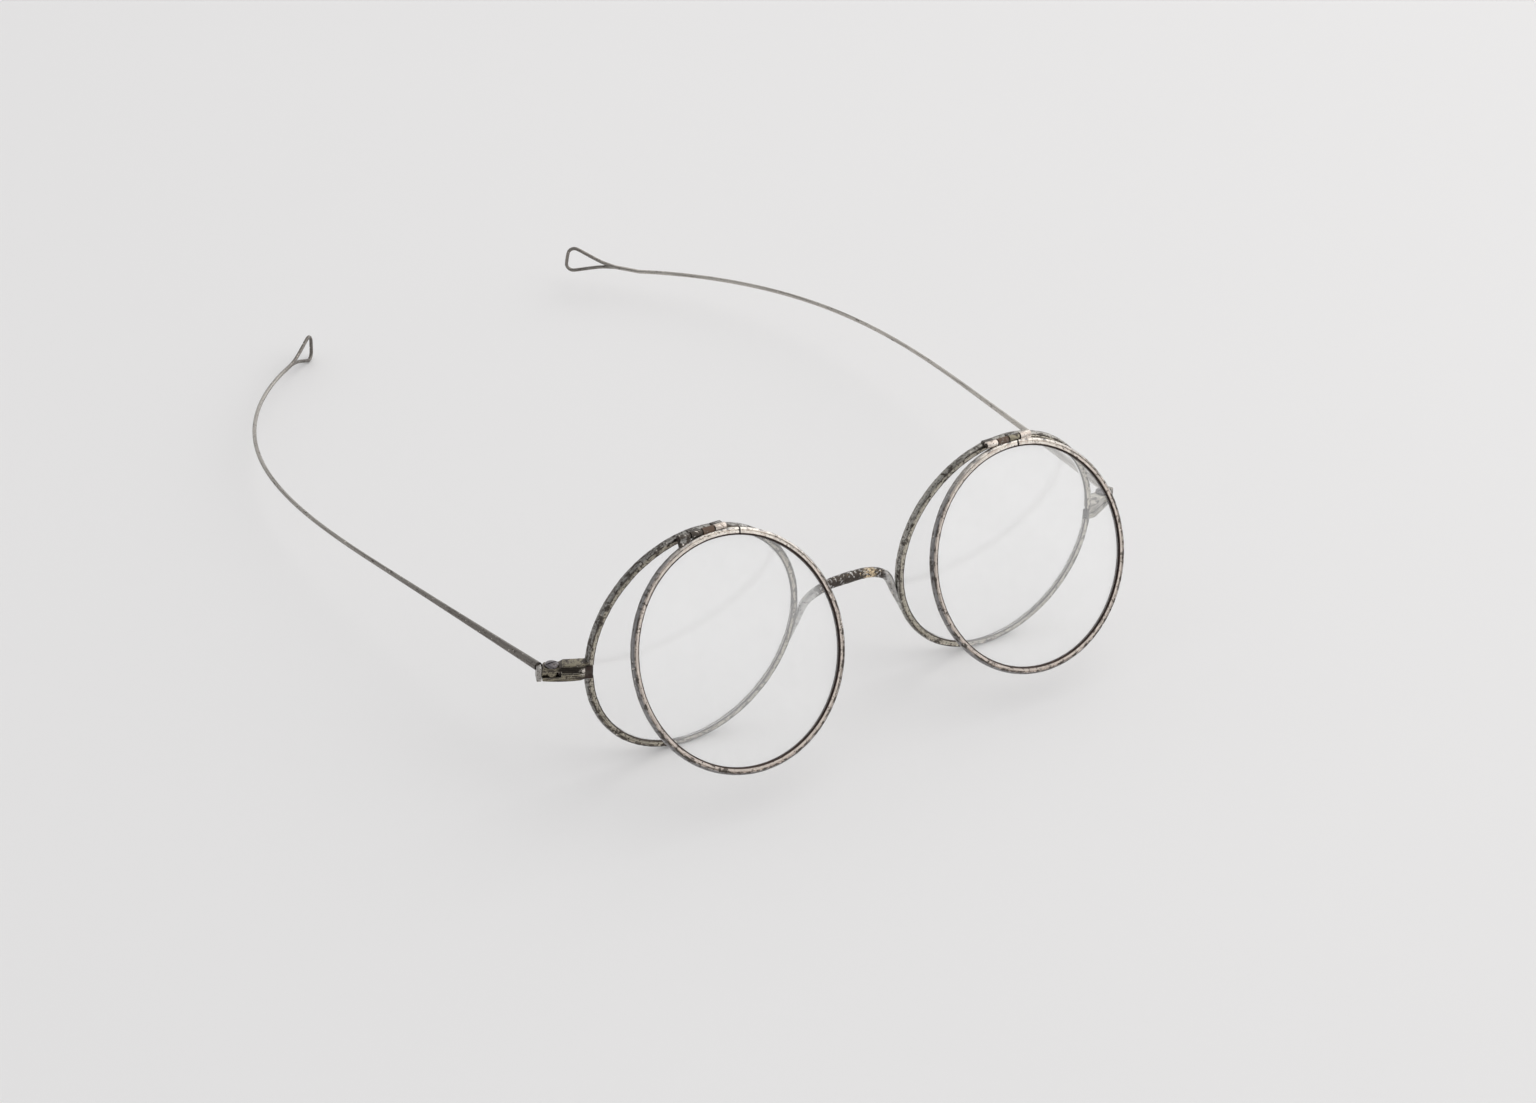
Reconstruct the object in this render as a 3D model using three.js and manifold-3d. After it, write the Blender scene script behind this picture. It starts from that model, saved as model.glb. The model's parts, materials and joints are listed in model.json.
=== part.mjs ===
// Old wire spectacles with two pairs of round lenses. The front pair hangs on knuckle hinges at the
// top of the fixed eyewires and flips up. The temples fold on split endpiece joints and end in loops.
//
// Millimetres and degrees. The front is drawn upright: x runs to the right as seen from the front,
// y runs back along the temples and z runs up. Left and right are as seen from the front. At the end
// the whole front leans back until the eyewires and the lower temple loop stand on z = 0.

import * as THREE from 'three';
import { mergeVertices } from 'three/addons/utils/BufferGeometryUtils.js';
import Module from 'manifold-3d';

const wasm = await Module();
wasm.setup();

// Front
const LENS_CENTRE_DISTANCE = 62;
const SOLDER_GAP = 0.03;

// Fixed eyewires: outer radius, radial wall, depth along the lens axis, rise of the half-round back and
// the V groove inside. The opening at the temple side takes the joint.
const EYEWIRE = {
  radius: 20.7,
  wall: 1.4,
  depth: 1.36,
  crown: 0.75,
  grooveWidth: 0.84,
  grooveDepth: 0.5,
};
const EYEWIRE_OPENING = 2.1;

// Flip-up rims, a little smaller all round than the eyewires
const FLIP_RIM_INSET = 0.42;
const FLIP_RIM = {
  radius: EYEWIRE.radius - FLIP_RIM_INSET,
  wall: 1.24,
  depth: 1.24,
  crown: 0.66,
  grooveWidth: 0.76,
  grooveDepth: 0.45,
};
const FLIP_SEAM_WIDTH = 0.2;
const RIM_LIP_CHAMFER = 0.16;

// Lenses
const LENS_EDGE_CLEARANCE = 0.05;
const LENS_CENTRE_THICKNESS = 1.2;

// Top hinges: the pin lies just below the top of the eyewire, in front of it
const HINGE_SINK = 0.25;
const HINGE_PIN_RADIUS = 0.26;
const HINGE_PIN_CLEARANCE = 0.04;
const HINGE_PIN_HEAD_RADIUS = 0.42;
const HINGE_PIN_HEAD_HEIGHT = 0.2;
const KNUCKLE_WALL = 0.3;
const KNUCKLE_LENGTH = 2.2;
const KNUCKLE_GAP = 0.12;
const BARREL_CLEARANCE = 0.08;
const STRAP_THICKNESS = 0.45;
const STRAP_OVERLAP = 0.9;
const FLIP_FOOT_WIDTH = 0.8;

// Bridge: crown, shoulders that turn down beside the eyewires, and feet that taper along them
const BRIDGE_RISE = 1.55;
const BRIDGE_CROWN_SAG = 0.35;
const BRIDGE_SHOULDER_INSET = 2;
const BRIDGE_SHOULDER_RUN = 3.3;
const BRIDGE_SHOULDER_DROP = 0.35;
const BRIDGE_KNEE_DROP = 3.1;
const BRIDGE_FOOT_DROP = 8.6;
const BRIDGE_CROWN_HEIGHT = 1.85;
const BRIDGE_CROWN_DEPTH = 1.6;
const BRIDGE_FOOT_HEIGHT = 0.75;
const BRIDGE_FOOT_DEPTH = 1;
const BRIDGE_SET_BACK = 0.15;

// Endpiece joints: they leave the eyewire outwards and sweep back
const JOINT_SWEEP = 25;
const JOINT_DROP = 0.3;
const JOINT_PIVOT_REACH = 6;
const JOINT_END_REACH = 1.6;
const JOINT_WIDTH = 2.3;
const JOINT_ROOT_WIDTH = 1.3;
const JOINT_ROOT_LENGTH = 1.4;
const JOINT_ARM_THICKNESS = 0.74;
const JOINT_BLOCK_RISE = 0.4;
const JOINT_BLOCK_START = 1.9;
const JOINT_BLOCK_RAMP = 0.7;
const JOINT_RIM_RISE = 0.4;
const JOINT_BELLY = 0.25;
const JOINT_SPLIT = 0.12;

// Joint screws
const SCREW_SHANK_RADIUS = 0.5;
const SCREW_HEAD_RADIUS = 1.15;
const SCREW_HEAD_EDGE = 0.16;
const SCREW_HEAD_HEIGHT = 0.5;
const SCREW_SLOT_WIDTH = 0.28;
const SCREW_SLOT_DEPTH = 0.22;
const SCREW_CLEARANCE = 0.06;

// Temples: a pierced tongue in the fork, a square butt behind the joint, and a wire that tapers from its
// root, runs straight, eases into a curl, ends straight and parts into a loop
const TONGUE_RADIUS = 1.1;
const TONGUE_THICKNESS = 0.8;
const TONGUE_NECK_WIDTH = 1.5;
const TONGUE_CLEARANCE = 0.06;
const TONGUE_SHOULDER_CLEARANCE = 0.35;
const BUTT_GAP = 0.1;
const BUTT_THICKNESS = 0.85;
const TEMPLE_ROOT_OFFSET = 0.45;
const TEMPLE_ROOT_RISE = 0.8;
const TEMPLE_ROOT_DIAMETER = 1.34;
const TEMPLE_TIP_DIAMETER = 0.76;
const TEMPLE_TAPER_LENGTH = 62;
const TEMPLE_SPREAD = 4.95;
const TEMPLE_STRAIGHT = 41;
const TEMPLE_EASE = 56;
const TEMPLE_CURL = 31.8;
const TEMPLE_CURL_RADIUS = 61;
const TEMPLE_TAIL = 6;
const LOOP_LENGTH = 8.3;
const LOOP_HALF_HEIGHT = 2.3;
const LOOP_CORNER_RADIUS = 1.3;
const LOOP_WIRE_DIAMETER = 0.66;
const LOOP_NECK = 1.5;
const LOOP_LAP = 0.2;

// What differs from side to side: how far each temple droops, how far its tail is bent up, how far the
// top of its joint leans outwards, how far each flip rim stands open, how far it sits towards the nose on
// its hinge, and where its closing seam is (degrees from the top, positive towards the temple). The right
// joint leans inwards, so that its loop passes under the left temple as it folds.
const SIDES = {
  left: {
    sign: -1,
    templeDrop: 4.3,
    tailLift: -2.2,
    jointLean: 0,
    flipOpen: 27.4,
    flipShift: 2,
    flipSeam: -14,
  },
  right: {
    sign: 1,
    templeDrop: 3.5,
    tailLift: 8.8,
    jointLean: -1.5,
    flipOpen: 23.6,
    flipShift: 0,
    flipSeam: 4.7,
  },
};

// Facets
const RIM_SEGMENTS = 48;
const CROWN_SEGMENTS = 4;
const LENS_RINGS = 3;
const WIRE_SIDES = 8;
const BRIDGE_SIDES = 10;
const BRIDGE_STEPS = 26;
const TEMPLE_STEPS = 34;
const TEMPLE_WALK = 0.5;
const LOOP_STEPS = 16;
const LOOP_CORNER_STEPS = 3;
const ROUND_SIDES = 20;
const BORE_SIDES = 12;
const DOME_STEPS = 3;

// Colours
const TARNISHED_METAL = { color: 0x857c72, roughness: 0.48, metalness: 0.9 };
const RUSTED_METAL = { color: 0x6e5a4c, roughness: 0.65, metalness: 0.75 };
const CLEAR_GLASS = { color: 0xe9eeec, roughness: 0.06, metalness: 0, transparent: true, opacity: 0.35 };

// Worked-out sizes
const rad = THREE.MathUtils.degToRad;
const LENS_X = LENS_CENTRE_DISTANCE / 2;
const KNUCKLE_BORE_RADIUS = HINGE_PIN_RADIUS + HINGE_PIN_CLEARANCE;
const KNUCKLE_RADIUS = KNUCKLE_BORE_RADIUS + KNUCKLE_WALL;
const KNUCKLE_PITCH = KNUCKLE_LENGTH + KNUCKLE_GAP;
const BARREL_LENGTH = 4 * KNUCKLE_PITCH - KNUCKLE_GAP;
const PIN_HALF_LENGTH = BARREL_LENGTH / 2 + SOLDER_GAP + HINGE_PIN_HEAD_HEIGHT;
const HINGE_RISE = EYEWIRE.radius - HINGE_SINK;
const HINGE_FORWARD = BARREL_CLEARANCE + Math.max(
  LENS_CENTRE_THICKNESS,
  EYEWIRE.depth / 2 + FLIP_RIM.depth / 2,
  EYEWIRE.depth / 2 + KNUCKLE_RADIUS,
);
const FORK_INNER = TONGUE_THICKNESS / 2 + TONGUE_CLEARANCE;
const JOINT_HALF_HEIGHT = FORK_INNER + JOINT_ARM_THICKNESS;
const JOINT_END = JOINT_PIVOT_REACH + JOINT_END_REACH;
const JOINT_SHOULDER = JOINT_PIVOT_REACH - TONGUE_RADIUS - TONGUE_SHOULDER_CLEARANCE;
const SCREW_BORE_RADIUS = SCREW_SHANK_RADIUS + SCREW_CLEARANCE;
const BUTT_FACE = JOINT_END_REACH + BUTT_GAP;
const BUTT_MIDDLE = BUTT_FACE + BUTT_THICKNESS / 2;
const TEMPLE_TAIL_START = TEMPLE_STRAIGHT + TEMPLE_EASE + TEMPLE_CURL;
const TEMPLE_LENGTH = TEMPLE_TAIL_START + TEMPLE_TAIL;

// Geometry to solid and back

function dropCollapsed(geometry) {
  const index = geometry.index.array;
  const kept = [];
  for (let i = 0; i < index.length; i += 3) {
    const [a, b, c] = index.slice(i, i + 3);
    if (a !== b && b !== c && c !== a) kept.push(a, b, c);
  }
  return geometry.setIndex(kept);
}

function welded(geometry) {
  const bare = geometry.clone();
  bare.deleteAttribute('normal');
  bare.deleteAttribute('uv');
  return dropCollapsed(mergeVertices(bare));
}

function toSolid(geometry) {
  const { attributes, index } = welded(geometry);
  const vertProperties = Float32Array.from(attributes.position.array);
  const triVerts = Uint32Array.from(index.array);
  return new wasm.Manifold(new wasm.Mesh({ numProp: 3, vertProperties, triVerts }));
}

function toGeometry(solid) {
  const { vertProperties, triVerts } = solid.getMesh();
  const geometry = new THREE.BufferGeometry();
  geometry.setAttribute('position', new THREE.BufferAttribute(vertProperties, 3));
  return geometry.setIndex(new THREE.BufferAttribute(triVerts, 1));
}

// A reflection turns every face inside out, so each triangle is wound the other way again
function mirrored(geometry) {
  const copy = welded(geometry).scale(-1, 1, 1);
  const index = copy.index.array;
  for (let i = 0; i < index.length; i += 3) {
    [index[i], index[i + 1]] = [index[i + 1], index[i]];
  }
  return copy;
}

// Shape tools

// Profile points are (radius, y), anticlockwise; a ring's profile closes on itself
function revolve(profile, segments = RIM_SEGMENTS) {
  const points = profile.map(([r, y]) => new THREE.Vector2(r, y));
  if (profile[0][0] > 0) points.push(points[0].clone());
  return new THREE.LatheGeometry(points, segments);
}

// Profile points of a low dome: from its edge in to the axis
function dome(radius, edge, top) {
  return Array.from({ length: DOME_STEPS + 1 }, (_, k) => {
    const angle = (Math.PI / 2) * (k / DOME_STEPS);
    return [k < DOME_STEPS ? radius * Math.cos(angle) : 0, edge + (top - edge) * Math.sin(angle)];
  });
}

function extrude(shape, depth) {
  return new THREE.ExtrudeGeometry(shape, { depth, bevelEnabled: false, curveSegments: ROUND_SIDES / 2 });
}

function polygon(points) {
  return new THREE.Shape(points.map(([x, y]) => new THREE.Vector2(x, y)));
}

function roundShape(radius) {
  return new THREE.Shape().absarc(0, 0, radius, 0, 2 * Math.PI);
}

// A shape drawn in the y-z plane, run along x from one place to another
function extrudeAlongX(shape, from, to) {
  const axes = new THREE.Matrix4().makeBasis(
    new THREE.Vector3(0, 1, 0),
    new THREE.Vector3(0, 0, 1),
    new THREE.Vector3(1, 0, 0),
  );
  return extrude(shape, to - from).applyMatrix4(axes).translate(from, 0, 0);
}

function rodAlongX(radius, length, sides) {
  return new THREE.CylinderGeometry(radius, radius, length, sides).rotateZ(Math.PI / 2);
}

function rodAlongZ(radius, length, sides) {
  return new THREE.CylinderGeometry(radius, radius, length, sides).rotateX(Math.PI / 2);
}

// Skins a row of rings of points that share one count, and closes both ends
function loft(rings) {
  const sides = rings[0].length;
  const last = (rings.length - 1) * sides;
  const index = [];
  for (let start = 0; start < last; start += sides) {
    for (let j = 0; j < sides; j += 1) {
      const a = start + j;
      const b = start + ((j + 1) % sides);
      index.push(a, b, b + sides, a, b + sides, a + sides);
    }
  }
  for (let j = 1; j + 1 < sides; j += 1) {
    index.push(0, j + 1, j, last, last + j, last + j + 1);
  }
  return new THREE.BufferGeometry().setFromPoints(rings.flat()).setIndex(index);
}

// One oval ring round a point: half sizes along two directions that are square to the path
function ovalRing(centre, across, up, halfAcross, halfUp, sides) {
  return Array.from({ length: sides }, (_, k) => {
    const angle = (2 * Math.PI * k) / sides;
    const point = centre.clone().addScaledVector(across, halfAcross * Math.cos(angle));
    return point.addScaledVector(up, halfUp * Math.sin(angle));
  });
}

// Eyewires, flip rims and lenses

// Half-round channel with a V groove on its inner side; grow swells it all round and fills the groove
function rimSection(rim, grow = 0) {
  const inner = rim.radius - rim.wall - grow;
  const crownFoot = rim.radius - rim.crown + grow;
  const half = rim.depth / 2 + grow;
  const lip = half - RIM_LIP_CHAMFER;
  const crown = Array.from({ length: CROWN_SEGMENTS + 1 }, (_, k) => {
    const angle = Math.PI * (k / CROWN_SEGMENTS - 0.5);
    return [crownFoot + rim.crown * Math.cos(angle), half * Math.sin(angle)];
  });
  const groove = rim.grooveWidth / 2;
  const grooved = [[inner, groove], [inner + rim.grooveDepth, 0], [inner, -groove]];
  return [[inner, -lip], ...crown, [inner, lip], ...(grow > 0 ? [] : grooved)];
}

// The swollen form is what neighbouring pieces are cut with
function eyewireSolid(grow = 0) {
  const opening = new THREE.BoxGeometry(EYEWIRE.radius, 2 * EYEWIRE.depth, EYEWIRE_OPENING - 2 * grow);
  opening.translate(EYEWIRE.radius, 0, -JOINT_DROP);
  return toSolid(revolve(rimSection(EYEWIRE, grow))).subtract(toSolid(opening));
}

function eyewire() {
  return toGeometry(eyewireSolid());
}

function lens(rim) {
  const inner = rim.radius - rim.wall;
  const edge = inner - LENS_EDGE_CLEARANCE;
  const tip = inner + rim.grooveDepth - LENS_EDGE_CLEARANCE;
  const edgeHalf = rim.grooveWidth / 2 - LENS_EDGE_CLEARANCE;
  const bulge = LENS_CENTRE_THICKNESS / 2 - edgeHalf;
  const back = Array.from({ length: LENS_RINGS + 1 }, (_, k) => {
    const share = k / LENS_RINGS;
    return [edge * share, edgeHalf + bulge * (1 - share ** 2)];
  });
  const face = back.map(([r, y]) => [r, -y]);
  return revolve([...face, [tip, 0], ...back.reverse()]);
}

// Drawn about the hinge axis, hanging straight down, with room for the hinge barrel and pin heads
function flipRimSolid(side, grow = 0) {
  const ring = revolve(rimSection(FLIP_RIM, grow)).translate(-side.flipShift, 0, -HINGE_RISE);
  const roomRadius = KNUCKLE_RADIUS + BARREL_CLEARANCE - grow;
  const room = rodAlongX(roomRadius, 2 * (PIN_HALF_LENGTH + BARREL_CLEARANCE), ROUND_SIDES);
  return toSolid(ring).subtract(toSolid(room));
}

function flipRim(side) {
  const seam = new THREE.BoxGeometry(FLIP_SEAM_WIDTH, 2 * FLIP_RIM.depth, 2 * FLIP_RIM.wall);
  seam.translate(0, 0, FLIP_RIM.radius - FLIP_RIM.wall / 2).rotateY(rad(side.flipSeam));
  seam.translate(-side.flipShift, 0, -HINGE_RISE);
  return toGeometry(flipRimSolid(side).subtract(toSolid(seam)));
}

function flipLens(side) {
  return lens(FLIP_RIM).translate(-side.flipShift, 0, -HINGE_RISE);
}

// Top hinges, drawn about the pin. Places run from the nose side: fixed, flip, fixed, flip.

function knuckle(place, foot, rim) {
  const from = place * KNUCKLE_PITCH - BARREL_LENGTH / 2;
  const to = from + KNUCKLE_LENGTH;
  const tube = toSolid(extrudeAlongX(roundShape(KNUCKLE_RADIUS), from, to));
  const body = tube.add(toSolid(extrudeAlongX(polygon(foot), from, to)));
  const bore = toSolid(rodAlongX(KNUCKLE_BORE_RADIUS, 2 * BARREL_LENGTH, BORE_SIDES));
  return toGeometry(body.subtract(bore).subtract(rim));
}

// A strap leaves the top of the knuckle, lies back over the eyewire and is cut to its curve
function fixedKnuckle(place) {
  const top = KNUCKLE_RADIUS;
  const under = KNUCKLE_RADIUS - STRAP_THICKNESS;
  const heel = HINGE_FORWARD - EYEWIRE.depth / 2 + SOLDER_GAP;
  const back = heel + STRAP_OVERLAP;
  const strap = [
    [0, top],
    [0, under],
    [heel, under],
    [heel, -STRAP_THICKNESS],
    [back, -STRAP_THICKNESS],
    [back, top - STRAP_THICKNESS],
    [back - STRAP_THICKNESS, top],
  ];
  const rim = revolve(rimSection(EYEWIRE, SOLDER_GAP)).translate(0, HINGE_FORWARD, -HINGE_RISE);
  return knuckle(place, strap, toSolid(rim));
}

// A foot drops from the knuckle to the middle of the flip rim's wall and is cut to its curve
function flipKnuckle(side, place) {
  const wall = FLIP_RIM.radius - FLIP_RIM.wall / 2;
  const reach = (place + 1) * KNUCKLE_PITCH - BARREL_LENGTH / 2 + side.flipShift;
  const drop = HINGE_RISE - Math.sqrt(wall ** 2 - reach ** 2);
  const half = FLIP_FOOT_WIDTH / 2;
  const foot = [[-half, 0], [-half, -drop], [half, -drop], [half, 0]];
  const inside = new THREE.CylinderGeometry(wall, wall, 2 * FLIP_RIM.depth, RIM_SEGMENTS);
  inside.translate(-side.flipShift, 0, -HINGE_RISE);
  return knuckle(place, foot, flipRimSolid(side, SOLDER_GAP).add(toSolid(inside)));
}

function hingePin() {
  const shoulder = BARREL_LENGTH / 2 + SOLDER_GAP;
  const half = [[HINGE_PIN_RADIUS, shoulder], ...dome(HINGE_PIN_HEAD_RADIUS, shoulder, PIN_HALF_LENGTH)];
  const other = half.map(([r, y]) => [r, -y]).reverse();
  return revolve([...other, ...half], BORE_SIDES).rotateZ(Math.PI / 2);
}

// Bridge

function bridgePath() {
  const footRadius = EYEWIRE.radius + BRIDGE_FOOT_HEIGHT / 4;
  const onEyewire = (drop) => LENS_X - Math.sqrt(footRadius ** 2 - drop ** 2);
  const shoulder = LENS_X - EYEWIRE.radius - BRIDGE_SHOULDER_INSET;
  const half = [
    [shoulder - BRIDGE_SHOULDER_RUN, BRIDGE_RISE - BRIDGE_CROWN_SAG],
    [shoulder, -BRIDGE_SHOULDER_DROP],
    [onEyewire(BRIDGE_KNEE_DROP) - BRIDGE_CROWN_HEIGHT / 4, -BRIDGE_KNEE_DROP],
    [onEyewire((BRIDGE_KNEE_DROP + BRIDGE_FOOT_DROP) / 2), -(BRIDGE_KNEE_DROP + BRIDGE_FOOT_DROP) / 2],
    [onEyewire(BRIDGE_FOOT_DROP), -BRIDGE_FOOT_DROP],
  ];
  const other = half.map(([x, z]) => [-x, z]).reverse();
  const arch = [...other, [0, BRIDGE_RISE], ...half];
  return new THREE.CatmullRomCurve3(arch.map(([x, z]) => new THREE.Vector3(x, BRIDGE_SET_BACK, z)));
}

function bridge() {
  const path = bridgePath();
  const back = new THREE.Vector3(0, 1, 0);
  const rings = [];
  for (let i = 0; i <= BRIDGE_STEPS; i += 1) {
    const t = i / BRIDGE_STEPS;
    const fromCrown = Math.abs(2 * t - 1) ** 1.5;
    const height = THREE.MathUtils.lerp(BRIDGE_CROWN_HEIGHT, BRIDGE_FOOT_HEIGHT, fromCrown);
    const depth = THREE.MathUtils.lerp(BRIDGE_CROWN_DEPTH, BRIDGE_FOOT_DEPTH, fromCrown);
    const up = path.getTangentAt(t).cross(back);
    rings.push(ovalRing(path.getPointAt(t), back, up, depth / 2, height / 2, BRIDGE_SIDES));
  }
  const rim = revolve(rimSection(EYEWIRE, SOLDER_GAP));
  const rightRim = toSolid(rim.clone().translate(LENS_X, 0, 0));
  const leftRim = toSolid(rim.translate(-LENS_X, 0, 0));
  return toGeometry(toSolid(loft(rings)).subtract(rightRim).subtract(leftRim));
}

// Endpiece joints, drawn for the right side: x runs along the joint from the middle of the eyewire's
// wall, and z = 0 lies on the split between the halves. Each joint is swept back, then leans about its
// pivot.

const SWEEP_JOINT = new THREE.Matrix4()
  .makeTranslation(LENS_X + EYEWIRE.radius - EYEWIRE.wall / 2, 0, -JOINT_DROP)
  .multiply(new THREE.Matrix4().makeRotationZ(rad(JOINT_SWEEP)));
const JOINT_PIVOT = new THREE.Vector3(JOINT_PIVOT_REACH, 0, 0).applyMatrix4(SWEEP_JOINT);

function placeJoint(side) {
  const { x, y, z } = JOINT_PIVOT;
  return new THREE.Matrix4()
    .makeTranslation(x, y, z)
    .multiply(new THREE.Matrix4().makeRotationY(rad(side.jointLean)))
    .multiply(new THREE.Matrix4().makeTranslation(-x, -y, -z))
    .multiply(SWEEP_JOINT);
}

// Plan of a half: narrow at the eyewire, square at the front of its end, round the pivot at the back
function jointPlan() {
  const half = JOINT_WIDTH / 2;
  const root = JOINT_ROOT_WIDTH / 2;
  const turn = Math.asin(Math.min(1, half / JOINT_END_REACH));
  const plan = new THREE.Shape();
  plan.moveTo(0, -root);
  plan.lineTo(JOINT_ROOT_LENGTH, -half);
  plan.lineTo(JOINT_END, -half);
  plan.lineTo(JOINT_END, 0);
  plan.absarc(JOINT_PIVOT_REACH, 0, JOINT_END_REACH, 0, turn);
  plan.lineTo(JOINT_ROOT_LENGTH, half);
  plan.lineTo(0, root);
  return plan;
}

// Side view of the upper half: a fork arm at the pivot and a raised block that slopes up at the rim
function upperProfile() {
  const top = JOINT_HALF_HEIGHT;
  const block = top + JOINT_BLOCK_RISE;
  const blockEnd = JOINT_PIVOT_REACH - SCREW_HEAD_RADIUS - SCREW_CLEARANCE;
  const shape = polygon([
    [0, JOINT_SPLIT / 2],
    [JOINT_SHOULDER, JOINT_SPLIT / 2],
    [JOINT_SHOULDER, FORK_INNER],
    [JOINT_END, FORK_INNER],
    [JOINT_END, top],
    [blockEnd, top],
    [blockEnd - JOINT_BLOCK_RAMP, block],
    [JOINT_BLOCK_START, block],
  ]);
  return shape.quadraticCurveTo(JOINT_BLOCK_START / 2, block, 0, block + JOINT_RIM_RISE);
}

// Side view of the lower half: its underside is a shallow belly
function lowerProfile() {
  const bottom = -JOINT_HALF_HEIGHT;
  const shape = polygon([
    [0, -JOINT_SPLIT / 2],
    [JOINT_SHOULDER, -JOINT_SPLIT / 2],
    [JOINT_SHOULDER, -FORK_INNER],
    [JOINT_END, -FORK_INNER],
    [JOINT_END, bottom],
  ]);
  return shape.quadraticCurveTo(JOINT_END / 2, bottom - 2 * JOINT_BELLY, 0, bottom);
}

function jointHalf(side, profile) {
  const tall = 4 * (JOINT_HALF_HEIGHT + JOINT_BLOCK_RISE + JOINT_RIM_RISE);
  const slab = extrude(profile, JOINT_WIDTH).rotateX(Math.PI / 2).translate(0, JOINT_WIDTH / 2, 0);
  const plan = extrude(jointPlan(), tall).translate(0, 0, -tall / 2);
  const bore = rodAlongZ(SCREW_BORE_RADIUS, tall, BORE_SIDES).translate(JOINT_PIVOT_REACH, 0, 0);
  const half = toSolid(slab).intersect(toSolid(plan)).subtract(toSolid(bore));
  const placed = toSolid(toGeometry(half).applyMatrix4(placeJoint(side)));
  const rim = toSolid(toGeometry(eyewireSolid(SOLDER_GAP)).translate(LENS_X, 0, 0));
  return toGeometry(placed.subtract(rim));
}

// Drawn about the pivot, head up
function jointScrew(side) {
  const seat = JOINT_HALF_HEIGHT + SOLDER_GAP;
  const crown = seat + SCREW_HEAD_HEIGHT;
  const profile = [
    [0, -JOINT_HALF_HEIGHT],
    [SCREW_SHANK_RADIUS, -JOINT_HALF_HEIGHT],
    [SCREW_SHANK_RADIUS, seat],
    [SCREW_HEAD_RADIUS, seat],
    ...dome(SCREW_HEAD_RADIUS, seat + SCREW_HEAD_EDGE, crown),
  ];
  const blank = toSolid(revolve(profile, ROUND_SIDES).rotateX(Math.PI / 2));
  const slot = new THREE.BoxGeometry(4 * SCREW_HEAD_RADIUS, SCREW_SLOT_WIDTH, 2 * SCREW_SLOT_DEPTH);
  const screw = blank.subtract(toSolid(slot.translate(0, 0, crown)));
  return toGeometry(screw).rotateY(rad(side.jointLean));
}

// Temples, drawn for the right side about the pivot

// How far the wire has turned at a distance along it: nothing while it is straight, faster and faster
// through the ease, and evenly round the curl
function turned(distance) {
  const eased = THREE.MathUtils.clamp(distance - TEMPLE_STRAIGHT, 0, TEMPLE_EASE);
  const curled = THREE.MathUtils.clamp(distance - TEMPLE_STRAIGHT - TEMPLE_EASE, 0, TEMPLE_CURL);
  return (eased ** 2 / (2 * TEMPLE_EASE) + curled) / TEMPLE_CURL_RADIUS;
}

// Directions at a distance along the wire, which lies in one plane that droops back from the joint; its
// tail is bent up or down out of that plane
function templeAxes(side, distance) {
  const heading = turned(distance) - rad(TEMPLE_SPREAD);
  const lift = distance > TEMPLE_TAIL_START ? rad(side.tailLift) : 0;
  const droop = new THREE.Matrix4().makeRotationX(-rad(side.templeDrop));
  const turn = new THREE.Matrix4().makeRotationZ(heading);
  const pitch = new THREE.Matrix4().makeRotationX(lift);
  const across = new THREE.Vector3();
  const along = new THREE.Vector3();
  const up = new THREE.Vector3();
  droop.multiply(turn).multiply(pitch).extractBasis(across, along, up);
  return { across, along, up };
}

// The wire's place is found by walking along it from its root in the butt
function templePlace(side, distance) {
  const place = new THREE.Vector3(BUTT_MIDDLE, TEMPLE_ROOT_OFFSET, TEMPLE_ROOT_RISE);
  place.applyMatrix4(new THREE.Matrix4().makeRotationZ(rad(JOINT_SWEEP)));
  const steps = Math.max(1, Math.ceil(distance / TEMPLE_WALK));
  const step = distance / steps;
  for (let i = 0; i < steps; i += 1) {
    place.addScaledVector(templeAxes(side, (i + 0.5) * step).along, step);
  }
  return place;
}

function templeRadius(distance) {
  const left = Math.max(0, 1 - distance / TEMPLE_TAPER_LENGTH);
  return THREE.MathUtils.lerp(TEMPLE_TIP_DIAMETER, TEMPLE_ROOT_DIAMETER, left ** 2) / 2;
}

function templeWire(side) {
  const rings = [];
  for (let i = 0; i <= TEMPLE_STEPS; i += 1) {
    const distance = (TEMPLE_LENGTH * i) / TEMPLE_STEPS;
    const { across, up } = templeAxes(side, distance);
    const radius = templeRadius(distance);
    rings.push(ovalRing(templePlace(side, distance), up, across, radius, radius, WIRE_SIDES));
  }
  return loft(rings);
}

// Half of the loop, in the upright plane of the tail: a leg that parts from the wire's end, a round
// corner, and the far side to just past its middle, where the halves meet
function loopPath(side, half) {
  const { along, up } = templeAxes(side, TEMPLE_LENGTH);
  const end = templePlace(side, TEMPLE_LENGTH);
  const centre = [LOOP_LENGTH - LOOP_CORNER_RADIUS, LOOP_HALF_HEIGHT - LOOP_CORNER_RADIUS];
  const reach = Math.hypot(...centre);
  const slope = Math.atan2(centre[1], centre[0]) + Math.asin(LOOP_CORNER_RADIUS / reach);
  const corner = Array.from({ length: LOOP_CORNER_STEPS + 1 }, (_, k) => {
    const angle = (slope + Math.PI / 2) * (1 - k / LOOP_CORNER_STEPS);
    return [
      centre[0] + LOOP_CORNER_RADIUS * Math.cos(angle),
      centre[1] + LOOP_CORNER_RADIUS * Math.sin(angle),
    ];
  });
  const outline = [
    [-LOOP_NECK, 0],
    [LOOP_NECK, LOOP_NECK * Math.tan(slope)],
    ...corner,
    [LOOP_LENGTH, -LOOP_LAP],
  ];
  const place = ([a, b]) => end.clone().addScaledVector(along, a).addScaledVector(up, half * b);
  return new THREE.CatmullRomCurve3(outline.map(place));
}

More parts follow.
